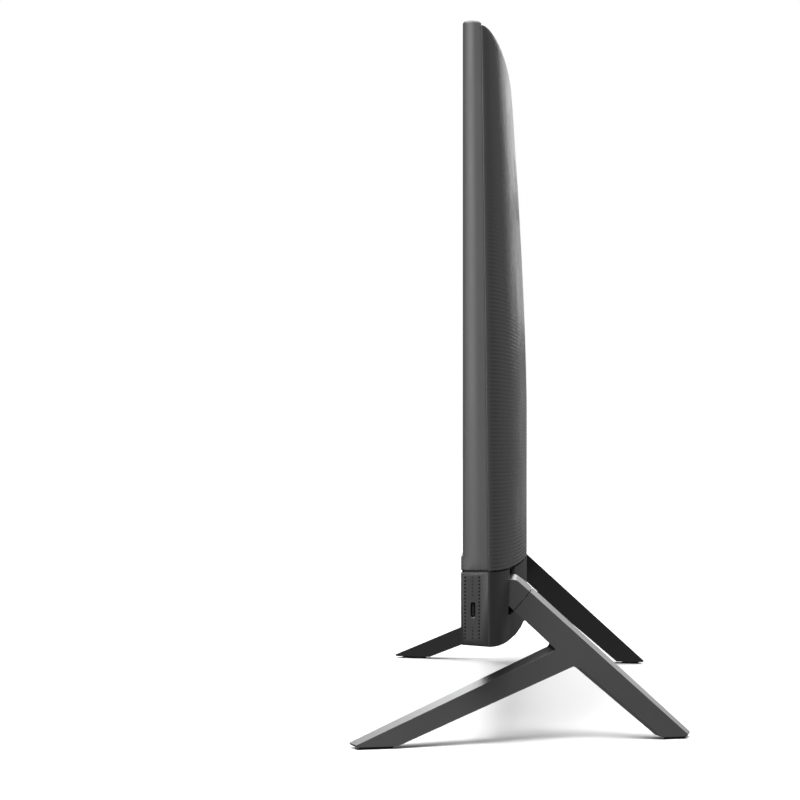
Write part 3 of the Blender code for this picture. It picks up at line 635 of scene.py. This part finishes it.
def smooth_step(value, start, end):
    t = max(0.0, min(1.0, (value - start) / (end - start)))
    return t * t * (3 - 2 * t)


def side_columns(half_width, middle, middle_step, side_count):
    """X of each column: even across the middle, and closing up towards the sides."""
    count = round(2 * middle / middle_step)
    inner = [-middle + i * middle_step for i in range(count + 1)]
    reach = half_width - middle
    outer = [half_width - reach * (i / side_count) ** SIDE_CLOSING for i in range(side_count)]
    return [-x for x in outer] + inner + list(reversed(outer))


def rib_rows(high, low):
    """(z, share of the groove's depth) down the ribbed part of the cover."""
    profile = ((0.0, 0.0), (0.3, 0.0), (0.55, 0.55), (0.72, 1.0), (0.88, 0.5))
    rows = []
    count = int((high - low) / RIB_PITCH)
    for i in range(count):
        for share, depth in profile:
            rows.append((high - (i + share) * RIB_PITCH, depth))
    rows.append((high - count * RIB_PITCH, 0.0))
    if rows[-1][0] > low + 0.01:
        rows.append((low, 0.0))
    return rows


def cover_rows():
    """(z, share of the groove's depth) down the whole cover: its plain crown, then the ribs."""
    drops = [CROWN_HEIGHT * (i / CROWN_ROWS) ** CROWN_CLOSING for i in range(CROWN_ROWS)]
    crown = [(COVER_TOP_Z - drop, 0.0) for drop in drops]
    return crown + rib_rows(COVER_TOP_Z - CROWN_HEIGHT, SEAM_HIGH_Z)


def cover_y(x, z):
    """The cover's outer face, full in the middle and closing on the side frame at its edges."""
    edge = frame_depth(z) + COVER_EDGE
    crown = swell((COVER_TOP_Z - z) / CROWN_HEIGHT, CROWN_POWER)
    reach = swell(1 - abs(x) / (HALF_WIDTH - COVER_STEP), PLAN_POWER) * crown
    return FRONT_Y + edge + (centre_depth(z) - edge) * reach


def is_vent(x, z, depth):
    """Whether the groove is open here, to let the air out."""
    inside = abs(x) < VENT_HALF_WIDTH and VENT_Z[0] < z < VENT_Z[1]
    along = (x + VENT_HALF_WIDTH) % (VENT_LENGTH + VENT_BRIDGE)
    return inside and depth > 0.5 and along < VENT_LENGTH


def make_back_cover():
    """The ribbed shell, with its open vents, its top edge's shelf and the webcam's slot."""
    columns = side_columns(HALF_WIDTH - COVER_STEP, VENT_HALF_WIDTH, 5.0, 30)
    rows = cover_rows()
    bm = bmesh.new()
    grid = []
    for z, groove in rows:
        fade = smooth_step(z, *RIB_FADE_Z) * RIB_DEPTH
        line = [bm.verts.new((x, cover_y(x, z) - groove * fade, z)) for x in columns]
        front_y = FRONT_Y + frame_depth(z) + HAIRLINE
        line.insert(0, bm.verts.new((columns[0], front_y, z)))
        line.append(bm.verts.new((columns[-1], front_y, z)))
        grid.append(line)
    for row, (upper, lower) in enumerate(zip(grid, grid[1:])):
        middle_z = (rows[row][0] + rows[row + 1][0]) / 2
        groove = (rows[row][1] + rows[row + 1][1]) / 2
        for i in range(len(upper) - 1):
            middle_x = (upper[i].co.x + upper[i + 1].co.x) / 2
            if not is_vent(middle_x, middle_z, groove):
                bm.faces.new((upper[i], lower[i], lower[i + 1], upper[i + 1]))
    shelf_y = FRONT_Y + frame_depth(COVER_TOP_Z) + HAIRLINE
    shelf = [bm.verts.new((v.co.x, shelf_y, COVER_TOP_Z)) for v in grid[0][2:-2]]
    shelf = [grid[0][0], *shelf, grid[0][-1]]
    for i in range(len(shelf) - 1):
        corners = [shelf[i], grid[0][i + 1], grid[0][i + 2], shelf[i + 1]]
        unique = list(dict.fromkeys(corners))
        if len(unique) > 2:
            bm.faces.new(unique)
    bmesh.ops.delete(bm, geom=[v for v in bm.verts if not v.link_faces], context="VERTS")
    obj = mesh_object("back_cover_shell", bm)
    wall = obj.modifiers.new("wall", "SOLIDIFY")
    wall.thickness = COVER_WALL * MM
    wall.offset = -1
    settle(obj)
    slot_x = node_span("webcam_housing", X)[1] + WEBCAM_SLOT_GAP
    low_y, high_y = node_span("webcam_housing", Y)
    slot_y = (low_y - WEBCAM_SLOT_GAP, high_y + WEBCAM_SLOT_GAP)
    cut(obj, box_cutter((-slot_x, slot_x), slot_y, WEBCAM_SLOT_Z))
    keep(obj, "cover_plastic", "display_unit", "back_cover")


def frame_profile(depth, front, rear_radius):
    """(outward, behind the front plane) points round the side frame's section."""
    steps = [0.0, 0.05, 0.18, 0.4, 0.7, 1.0]
    ends = [(front + FRAME_FRONT_RADIUS * s, FRAME_FRONT_RADIUS, s) for s in steps]
    ends += [(front + (depth - front) * s, 1.0, 1.0) for s in (0.25, 0.4, 0.55, 0.7)]
    ends += [(depth - rear_radius * s, rear_radius, s) for s in reversed(steps)]
    profile = [(-FRAME_WALL, front)]
    for y, radius, share in ends:
        crown = FRAME_CROWN * (2 * (y - front) / (depth - front) - 1) ** 2
        corner = radius * (1 - math.sqrt(1 - (1 - share) ** 2))
        profile.append((-crown - corner, y))
    profile.append((-FRAME_WALL, depth))
    return profile


def frame_stations():
    """(x, z, outward x, outward z, front) from the lower right, over the top, to the lower left."""
    wide, round_ = HALF_WIDTH, FRAME_CORNER_RADIUS
    chin = CHIN_Y - FRONT_Y
    right = [(wide - 0.4, SEAM_HIGH_Z, 1, 0, chin + 0.5), (wide, SEAM_HIGH_Z + 0.5, 1, 0, chin)]
    right += [(wide, CHIN_TOP_Z - CHIN_SLOPE, 1, 0, chin), (wide, CHIN_TOP_Z, 1, 0, 0)]
    right += [(wide, z, 1, 0, 0) for z in (220, 320)]
    for step in range(9):
        angle = math.radians(90 * step / 8)
        across, up = math.cos(angle), math.sin(angle)
        x = wide - round_ + round_ * across
        z = TOP_Z - round_ + round_ * up
        right.append((x, z, across, up, 0))
    left = [(-x, z, -across, up, front) for x, z, across, up, front in reversed(right)]
    return right + left


def make_side_frame():
    rings = []
    for x, z, across, up, front in frame_stations():
        rear_radius = FRAME_REAR_RADIUS + (FRAME_TOP_REAR_RADIUS - FRAME_REAR_RADIUS) * up
        profile = frame_profile(frame_depth(z), front, rear_radius)
        rings.append([(x + across * n, FRONT_Y + y, z + up * n) for n, y in profile])
    obj = mesh_object("side_frame", loft(rings))
    even_shading(keep(obj, "frame_plastic", "display_unit", "middle_frame", angle=40))


def rail(profile, half_width, end_radius):
    """A bar along X from a closed (y, z) profile, drawn in a little at its ends."""
    centre_y = sum(y for y, z in profile) / len(profile)
    centre_z = sum(z for y, z in profile) / len(profile)
    ends = [(0.0, 1.0), (0.15, 0.5), (0.45, 0.15), (1.0, 0.0)]
    stations = [(-half_width + end_radius * d, end_radius * draw) for d, draw in ends]
    stations += [(-x, draw) for x, draw in reversed(stations)]
    rings = []
    for x, draw in stations:
        ring = []
        for y, z in profile:
            arm = Vector((y - centre_y, z - centre_z))
            pull = Vector([math.copysign(min(abs(a), draw), a) for a in arm])
            ring.append((x, y - pull.x, z - pull.y))
        rings.append(ring)
    return loft(rings)


def make_chin():
    middle_y, middle_z = (CHIN_Y + CHIN_REAR_Y) / 2, (SEAM_HIGH_Z + CHIN_TOP_Z) / 2
    section = rounded_rectangle(CHIN_REAR_Y - CHIN_Y, CHIN_TOP_Z - SEAM_HIGH_Z, CHIN_ROUND, 4)
    profile = [(middle_y + y, middle_z + z) for y, z in section]
    bm = rail(profile, node_span("chin_strip", X)[1], CHIN_END_RADIUS)
    keep(mesh_object("chin_trim", bm), "frame_plastic", "display_unit", "chin_strip")


def make_bezel():
    """The black border, chamfered down to the panel."""
    (low_x, high_x), (low_y, high_y), (low_z, high_z) = node_spans("front_bezel")
    outer = (low_x, high_x, low_z, high_z)
    inner = (low_x + BEZEL_SIDE, high_x - BEZEL_SIDE, low_z + BEZEL_BOTTOM, high_z - BEZEL_TOP)
    stops = [(0.0, high_y), (0.0, low_y + BEZEL_CHAMFER / 2), (0.08, low_y), (0.8, low_y),
             (1.0, low_y + BEZEL_CHAMFER), (1.0, high_y)]
    rings = []
    for corner in ((0, 2), (1, 2), (1, 3), (0, 3)):
        ring = []
        for share, y in stops:
            x, z = [outer[k] + (inner[k] - outer[k]) * share for k in corner]
            ring.append((x, y, z))
        rings.append(ring)
    obj = mesh_object("screen_border", ring_loft(rings))
    keep(obj, "bezel_black", "display_unit", "front_bezel", angle=30)


# ---------------------------------------------------------------- speaker bar and lower housing

def perforations(end_x):
    """Cutters for the holes in the bar's end face, left out round the socket."""
    bm = bmesh.new()
    for column, y in enumerate(HOLE_COLUMNS_Y):
        for row in range(HOLE_ROWS):
            z = HOLE_TOP_Z - row * HOLE_PITCH
            if column == 1 and abs(z - SOCKET_Z) < SOCKET_CLEARANCE:
                continue
            radius = HOLE_RADIUS * (HOLE_MIDDLE_SHARE if column == 1 else 1.0)
            ends = (end_x - HOLE_REACH, end_x + HOLE_REACH)
            add_loft(bm, [circle((x, y, z), radius, 12, X) for x in ends])
    return mesh_object("cutter", bm)


def add_loft(bm, rings):
    """Adds one more lofted body to a mesh."""
    other = loft(rings)
    mesh = bpy.data.meshes.new("part")
    other.to_mesh(mesh)
    other.free()
    bm.from_mesh(mesh)
    bpy.data.meshes.remove(mesh)


def socket_cutter(width, height, sign):
    """A through cutter in an end face whose mouth flares a little."""
    outline = rounded_rectangle(width, height, width / 2 - SHORT_STRAIGHT)
    stations = [(-6.0, 0.0), (-0.45, 0.0), (0.05, 0.45), (1.0, 0.45)]
    rings = []
    for off, flare in stations:
        ring = []
        for y, z in outline:
            arm = Vector((y, z))
            grown = arm + Vector([math.copysign(flare, a) for a in arm])
            ring.append(((HALF_WIDTH + off) * sign, SOCKET_Y + grown.x, SOCKET_Z + grown.y))
        rings.append(ring)
    return mesh_object("cutter", loft(rings))


def make_speaker_bar():
    """The hollow bar, open at the grille, the sockets, the end holes and the button's well."""
    profile = [
        (CHIN_Y, BAR_FRONT_LOW_Z + BAR_FRONT_CHAMFER), (CHIN_Y, SEAM_LOW_Z - SEAM_CHAMFER),
        (CHIN_Y + SEAM_CHAMFER, SEAM_LOW_Z), (BAR_REAR_Y, SEAM_LOW_Z),
        (BAR_REAR_Y, BAR_REAR_LOW_Z), (CHIN_Y + BAR_FRONT_CHAMFER, BAR_FRONT_LOW_Z),
    ]
    rings = [[(x, y, z) for y, z in profile] for x in (-HALF_WIDTH, HALF_WIDTH)]
    block = mesh_object("speaker_bar", loft(rings))
    obj = bevelled(block, BAR_ROUND, 3, last_y=BAR_REAR_Y - 0.1)
    inside = HALF_WIDTH - BAR_WALL
    cut(obj, box_cutter((-inside, inside), (CHIN_Y + BAR_WALL, 0), BAR_HOLLOW_Z))
    grille_x = node_span("speaker_grille", X)[1] + GAP
    low, high = node_span("speaker_grille", Z)
    cut(obj, box_cutter((-grille_x, grille_x), GRILLE_OPENING_Y, (low - GAP, high + GAP)))
    for sign in (1, -1):
        cut(obj, perforations(HALF_WIDTH * sign))
    cut(obj, socket_cutter(*USB_C_MOUTH, 1))
    cut(obj, socket_cutter(HEADSET_MOUTH, HEADSET_MOUTH, -1))
    well = [(low + ledge, high - ledge)
            for (low, high), ledge in zip(node_spans("power_button"), BUTTON_LEDGE)]
    cut(obj, box_cutter(*well, BUTTON_WELL_Z))
    keep(obj, "bar_plastic", "display_unit", "speaker_bar_housing", angle=30)


def make_grille():
    """Cloth stretched over a slim frame, so that it swells a little between its edges."""
    (low_x, high_x), (low_y, high_y), (low_z, high_z) = node_spans("speaker_grille")
    outline = rounded_rectangle(high_x - low_x, high_z - low_z, 2.0, 6)
    centre_x, centre_z = (low_x + high_x) / 2, (low_z + high_z) / 2
    stations = [(high_y, 0.0), (low_y + 0.75, 0.0), (low_y + 0.42, 0.15), (low_y + 0.2, 0.5),
                (low_y + 0.08, 1.2), (low_y, 3.5)]
    rings = []
    for y, inset in stations:
        ring = []
        for x, z in outline:
            ring.append((centre_x + x - math.copysign(min(inset, abs(x)), x), y,
                         centre_z + z - math.copysign(min(inset, abs(z)), z)))
        rings.append(ring)
    obj = mesh_object("speaker_cloth", loft(rings))
    keep(obj, "grille_fabric", "display_unit", "speaker_grille", angle=50)


def lower_column(x, wall, half_width, top_z, front_y):
    """(y, z) down the back of the lower housing, round its corner, to its front."""
    edge = BAR_REAR_Y - FRONT_Y + COVER_EDGE / 2
    reach = swell(1 - abs(x) / half_width, PLAN_POWER)
    rear = FRONT_Y + edge + (COVER_DEPTH - edge) * reach - wall
    bottom = LOWER_Z + wall
    reach_share = (rear + wall - BAR_REAR_Y) / (REAR_Y - BAR_REAR_Y)
    turn = max(0.2, LOWER_ROUND * reach_share ** LOWER_ROUND_POWER - wall)
    points = [(rear, top_z), (rear, (top_z + bottom + turn) / 2), (rear, bottom + turn)]
    for step in range(1, LOWER_ROUND_STEPS + 1):
        angle = math.radians(90 * step / LOWER_ROUND_STEPS)
        y = rear - turn + turn * math.cos(angle)
        points.append((y, bottom + turn - turn * math.sin(angle)))
    points.append((front_y, bottom + 0.6))
    return points


def lower_body(wall):
    """The lower housing's outer body, or for a wall over zero what is cut out of it."""
    half_width = HALF_WIDTH - wall
    past = PAST if wall else 0
    top_z = SEAM_LOW_Z + past
    front_y = BAR_REAR_Y + HAIRLINE - past
    columns = side_columns(half_width, 240.0, 40.0, 12 if wall else 34)
    rings = []
    for x in columns:
        points = lower_column(x, wall, half_width, top_z, front_y)
        rings.append([(x, y, z) for y, z in points] + [(x, front_y, top_z)])
    return mesh_object("lower_housing", loft(rings))


def leg_plane(y, z):
    """X of the right leg's outer face, which toes in to the front and splays out downwards."""
    return LEG_X - LEG_TOE * y - LEG_SPLAY * z


def stub_slot(side):
    """A cutter for the slot in which the housing tilts round the stub."""
    front, rear = SLOT_Y
    rings = []
    for z in (SLOT_LOW_Z, SEAM_LOW_Z + 5):
        high_x = leg_plane(SLOT_PLANE_Y, z) + SLOT_MARGIN
        low_x = leg_plane(SLOT_PLANE_Y, z) - LEG_THICKNESS - SLOT_MARGIN
        rings.append([(low_x, front, z), (high_x, front, z), (high_x, rear, z), (low_x, rear, z)])
    return mesh_object("cutter", sided(loft(rings), side))


def make_lower_housing():
    """The shell under the seam, with a slot for each stub and an opening for the sockets."""
    obj = cut(lower_body(0.0), lower_body(BAR_WALL))
    for side in ("left", "right"):
        cut(obj, stub_slot(side))
    wide = node_span("io_panel", X)[1] + IO_PANEL_GAP
    opening_y = (node_span("io_panel", Y)[0] - GAP, IO_OPENING_REAR_Y)
    opening_z = (IO_OPENING_LOW_Z, node_span("io_panel", Z)[1] + GAP)
    cut(obj, box_cutter((-wide, wide), opening_y, opening_z))
    keep(obj, "bar_plastic", "display_unit", "lower_rear_housing", angle=30)


def make_seam_gasket():
    """The black strip set back in the joint between the screen part and the speaker bar."""
    half_width = HALF_WIDTH - GASKET_INSET
    columns = side_columns(half_width, 200.0, 40.0, 14)
    outline = [(x, cover_y(x, SEAM_HIGH_Z) - GASKET_INSET) for x in columns]
    outline += [(x, CHIN_Y + GASKET_INSET) for x in (half_width, -half_width)]
    rings = [[(x, y, z) for x, y in outline] for z in (SEAM_LOW_Z - 0.5, SEAM_HIGH_Z + 0.5)]
    keep(mesh_object("seam_gasket", loft(rings)), "black_plastic", "display_unit")


def make_usb_c():
    """The receptacle behind the bar's opening: a drawn shell, and the tongue inside it."""
    wide, tall = USB_C_MOUTH
    face, root = HALF_WIDTH - USB_C_RECESS, node_span("usb_c_port", X)[0]
    floor = root + USB_C_WEB
    shell = []
    for x, grow in ((root, USB_C_SHELL), (face, USB_C_SHELL), (face, 0.0), (floor, 0.0)):
        radius = wide / 2 + grow - SHORT_STRAIGHT
        outline = rounded_rectangle(wide + 2 * grow, tall + 2 * grow, radius)
        shell.append([(x, SOCKET_Y + y, SOCKET_Z + z) for y, z in outline])
    keep(mesh_object("usb_c_shell", loft(shell)), "black_plastic", "display_unit", "usb_c_port")
    wide, tall = USB_C_TONGUE
    tongue = []
    for x, draw in ((floor, 0.0), (face - 1.1, 0.0), (face - 0.9, 0.15)):
        outline = rounded_rectangle(wide - draw, tall - draw, 0.2)
        tongue.append([(x, SOCKET_Y + y, SOCKET_Z + z) for y, z in outline])
    keep(mesh_object("usb_c_tongue", loft(tongue)), "black_plastic", "display_unit")


def make_webcam_window():
    """The glass over the camera, and the lens in its ring."""
    (low_x, high_x), (front, rear), (low_z, high_z) = node_spans("webcam_window")
    middle_z = (low_z + high_z) / 2
    rings = []
    for y, draw in ((rear, 0.0), (front + 0.25, 0.0), (front + 0.2, 0.1)):
        outline = rounded_rectangle(high_x - low_x - 2 * draw, high_z - low_z - 2 * draw, 3.0)
        rings.append([(x, y, middle_z + z) for x, z in outline])
    keep(mesh_object("camera_window", loft(rings)), "lens_glass", "webcam", "webcam_window")
    bezel = ((0.3, 3.5), (0.04, 3.4), (0.0, 3.2), (0.0, 2.5), (0.15, 2.2))
    ring = mesh_object("camera_lens_ring", turned(bezel, (0, front, middle_z), Y))
    keep(ring, "black_plastic", "webcam")
    dome = ((0.15, 2.1), (0.08, 1.6), (0.04, 1.0), (0.03, 0.3))
    keep(mesh_object("camera_lens", turned(dome, (0, front, middle_z), Y)), "lens_glass", "webcam")


# ---------------------------------------------------------------- stand

FILLET_STEPS = 6


def fillet(corner, before, after, radius):
    """Points of an arc that rounds the corner between two straight edges."""
    corner, before, after = Vector(corner), Vector(before), Vector(after)
    one = (before - corner).normalized()
    two = (after - corner).normalized()
    half_angle = one.angle(two) / 2
    reach = radius / math.tan(half_angle)
    centre = corner + (one + two).normalized() * (radius / math.sin(half_angle))
    start = corner + one * reach - centre
    end = corner + two * reach - centre
    sweep = start.angle(end)
    points = []
    for step in range(FILLET_STEPS + 1):
        f = step / FILLET_STEPS
        arm = (start * math.sin((1 - f) * sweep) + end * math.sin(f * sweep)) / math.sin(sweep)
        points.append(tuple(centre + arm))
    return points


def plate(outer, inner):
    """A leaning plate between an outline on its outer face and one on its inner face."""
    rings = [
        [(leg_plane(y, z), y, z) for y, z in outer],
        [(leg_plane(y, z) - LEG_THICKNESS, y, z) for y, z in inner],
    ]
    return loft(rings)


def underside(arch, rear_heel_y):
    """The edge of one face from the rear heel, over the arch, to the front heel."""
    heels = ((rear_heel_y, FOOT_Z), (FRONT_HEEL_Y, FOOT_Z))
    return [heels[0], *fillet(arch, *heels, 5), heels[1]]


def leg_outlines():
    """The leg's outline on its outer face and, with its top edges raised, on its inner face."""
    top = SEAM_TOP + SEAM_AXIS * GAP
    bottom = SEAM_BOTTOM + SEAM_AXIS * GAP
    blunt_z = FOOT_Z + TOE_HEIGHT
    toe = (FRONT_TOE_Y, blunt_z)
    corner = fillet(LEG_INNER_CORNER, toe, tuple(bottom), 0.8)
    outer = [(FRONT_TOE_Y + 0.5, FOOT_Z), toe, *corner, tuple(bottom), tuple(top)]
    outer += [(REAR_TOE_Y, blunt_z), (REAR_TOE_Y - 0.7, FOOT_Z), *underside(LEG_ARCH, REAR_HEEL_Y)]
    toe = (-HALF_DEPTH, blunt_z)
    raised = fillet(LEG_RAISED_CORNER, toe, tuple(bottom), 2.5)
    inner = [(-HALF_DEPTH + 1.3, FOOT_Z), toe, *raised, tuple(bottom), tuple(top + CREST)]
    inner += [(HALF_DEPTH, blunt_z), (HALF_DEPTH - 0.4, FOOT_Z)]
    inner += underside(LEG_INNER_ARCH, REAR_HEEL_Y - LEG_DRAFT)
    return outer, inner


def stub_outlines():
    """The stub's outline on each face, from the joint with the leg up and over the hinge."""
    root_z = HINGE_Z - 5.0
    shared = [tuple(SEAM_BOTTOM), (-9.6, 81.3), (HINGE_Y, root_z), (HINGE_Y, 92.0)]
    outer = [
        *shared, (-11.0, 96.0), (-8.7, 96.0), (-5.0, 95.5), (-2.7, 94.6), (1.0, 91.3),
        tuple(SEAM_TOP),
    ]
    inner = [
        *shared, (-11.0, 98.0), (-8.7, 98.1), (-4.2, 97.9), (-2.0, 96.7), (2.1, 93.5),
        tuple(SEAM_TOP + CREST),
    ]
    return outer, inner


def make_pad(side, end, heel_y, toe_y):
    """A rubber foot with a bead round its rim."""
    low, high = sorted((heel_y, toe_y))
    rings = []
    for z, bead in ((0.0, 0.45), (0.12, 0.15), (0.35, 0.0), (PAD_HEIGHT, 0.0)):
        inset = PAD_INSET + bead
        front, rear = low + bead, high - bead
        outer = [(leg_plane(y, FOOT_Z) - inset, y, z) for y in (front, rear)]
        inner = [(leg_plane(y, FOOT_Z) - LEG_THICKNESS + inset, y, z) for y in (rear, front)]
        rings.append(outer + inner)
    obj = mesh_object(f"{side}_{end}_pad", sided(loft(rings), side))
    keep(obj, "rubber", "stand", f"{side}_{end}_foot_pad")


def hinge_cylinder(side, ends_x, radius, chamfer):
    """A round body on the tilt hinge's axis, with chamfered ends."""
    ends = ends_x if side == "right" else [-x for x in ends_x]
    length = ends_x[1] - ends_x[0]
    profile = [(0, radius - chamfer), (length, radius - chamfer)]
    if chamfer:
        profile[1:1] = [(chamfer, radius), (length - chamfer, radius)]
    return mesh_object("cutter", turned(profile, (min(ends), HINGE_Y, HINGE_Z), X))


def make_stand():
    """Both legs, each with its stub, the hub and bore of its hinge, and its two rubber feet."""
    for side in ("left", "right"):
        leg = mesh_object(f"{side}_leg_casting", sided(plate(*leg_outlines()), side))
        even_shading(keep(bevelled(leg, LEG_BEVEL, 3, 25), "leg_metal", "stand", f"{side}_leg"))
        stub = mesh_object(f"{side}_stub_casting", sided(plate(*stub_outlines()), side))
        bevelled(stub, LEG_BEVEL, 2, 25)
        cut(stub, hinge_cylinder(side, HUB_X, HUB_RADIUS, HUB_CHAMFER), "UNION")
        cut(stub, hinge_cylinder(side, BORE_X, BORE_RADIUS, 0))
        even_shading(keep(stub, "leg_metal", "stand", f"{side}_stand_stub"))
        make_pad(side, "front", FRONT_HEEL_Y - 3, FRONT_TOE_Y + 1.5)
        make_pad(side, "rear", REAR_HEEL_Y + 1.5, REAR_TOE_Y - 1.5)


# ---------------------------------------------------------------- studio

WHITE = (1, 1, 1, 1)


def make_camera():
    """A level view from the user's right, square to the object's side."""
    data = bpy.data.cameras.new("viewpoint")
    data.lens = CAMERA_LENS
    data.shift_x, data.shift_y = CAMERA_SHIFT
    camera = bpy.data.objects.new("viewpoint", data)
    camera.location = Vector(CAMERA_PLACE) * MM
    camera.rotation_euler = (math.radians(90), 0, math.radians(90))
    bpy.context.scene.collection.objects.link(camera)
    bpy.context.scene.camera = camera


def make_floor():
    """A pale floor that takes the object's shadow and throws no light back on it."""
    bm = bmesh.new()
    bmesh.ops.create_grid(bm, x_segments=8, y_segments=8, size=FLOOR_HALF_WIDTH)
    floor = mesh_object("floor", bm)
    material = bpy.data.materials.new("studio_floor")
    material.use_nodes = True
    nodes = material.node_tree.nodes
    nodes.remove(nodes["Principled BSDF"])
    matt = add_node(material, "ShaderNodeBsdfDiffuse", Color=FLOOR_COLOUR)
    gloss = add_node(material, "ShaderNodeBsdfGlossy", Color=WHITE, Roughness=FLOOR_ROUGHNESS)
    mixed = add_node(material, "ShaderNodeMixShader", Fac=FLOOR_GLOSS)
    join(material, matt.outputs["BSDF"], mixed.inputs[1])
    join(material, gloss.outputs["BSDF"], mixed.inputs[2])
    join(material, mixed.outputs["Shader"], nodes["Material Output"].inputs["Surface"])
    floor.data.materials.append(material)
    floor.visible_diffuse = False
    floor.visible_glossy = False


def make_softbox(name, stand, target, width, height, radiance, part):
    """An area light, by what each point of it gives off, for the glossy or matt part of looks."""
    data = bpy.data.lights.new(name, "AREA")
    data.shape = "RECTANGLE"
    data.size, data.size_y = width * MM, height * MM
    data.energy = radiance * math.pi * data.size * data.size_y
    light = bpy.data.objects.new(name, data)
    light.location = Vector(stand) * MM
    aim = Vector(target) - Vector(stand)
    light.rotation_euler = aim.to_track_quat("-Z", "Y").to_euler()
    light.visible_camera = False
    light.visible_diffuse = part != "glossy"
    light.visible_glossy = part != "matt"
    bpy.context.scene.collection.objects.link(light)
    return light


def make_world():
    """White to the eye, and a dim even room as light."""
    world = bpy.data.worlds.new("studio")
    world.use_nodes = True
    nodes, links = world.node_tree.nodes, world.node_tree.links
    seen = nodes["Background"]
    seen.inputs["Color"].default_value = WHITE
    room = nodes.new("ShaderNodeBackground")
    room.inputs["Color"].default_value = WHITE
    room.inputs["Strength"].default_value = ROOM_LIGHT
    choose = nodes.new("ShaderNodeMixShader")
    path = nodes.new("ShaderNodeLightPath")
    links.new(path.outputs["Is Camera Ray"], choose.inputs["Fac"])
    links.new(room.outputs["Background"], choose.inputs[1])
    links.new(seen.outputs["Background"], choose.inputs[2])
    links.new(choose.outputs["Shader"], nodes["World Output"].inputs["Surface"])
    bpy.context.scene.world = world


def make_lights():
    """A broad sun overhead and the softboxes, one of which lights only the legs."""
    data = bpy.data.lights.new("overhead", "SUN")
    data.energy = SUN_STRENGTH
    data.angle = math.radians(SUN_SPREAD)
    sun = bpy.data.objects.new("overhead", data)
    sun.rotation_euler = (math.radians(SUN_TILT), 0, 0)
    bpy.context.scene.collection.objects.link(sun)
    lights = {softbox[0]: make_softbox(*softbox) for softbox in SOFTBOXES}
    legs = bpy.data.collections.new("legs")
    for part in ("leg", "stub"):
        for side in ("left", "right"):
            legs.objects.link(bpy.data.objects[f"{side}_{part}_casting"])
    lights["leg_glow"].light_linking.receiver_collection = legs
    make_world()
    bpy.context.scene.view_settings.view_transform = "Standard"


make_camera()
make_floor()
finish_cad_nodes()
make_side_frame()
make_back_cover()
make_chin()
make_bezel()
make_speaker_bar()
make_grille()
make_lower_housing()
make_seam_gasket()
make_usb_c()
make_webcam_window()
make_stand()
make_lights()
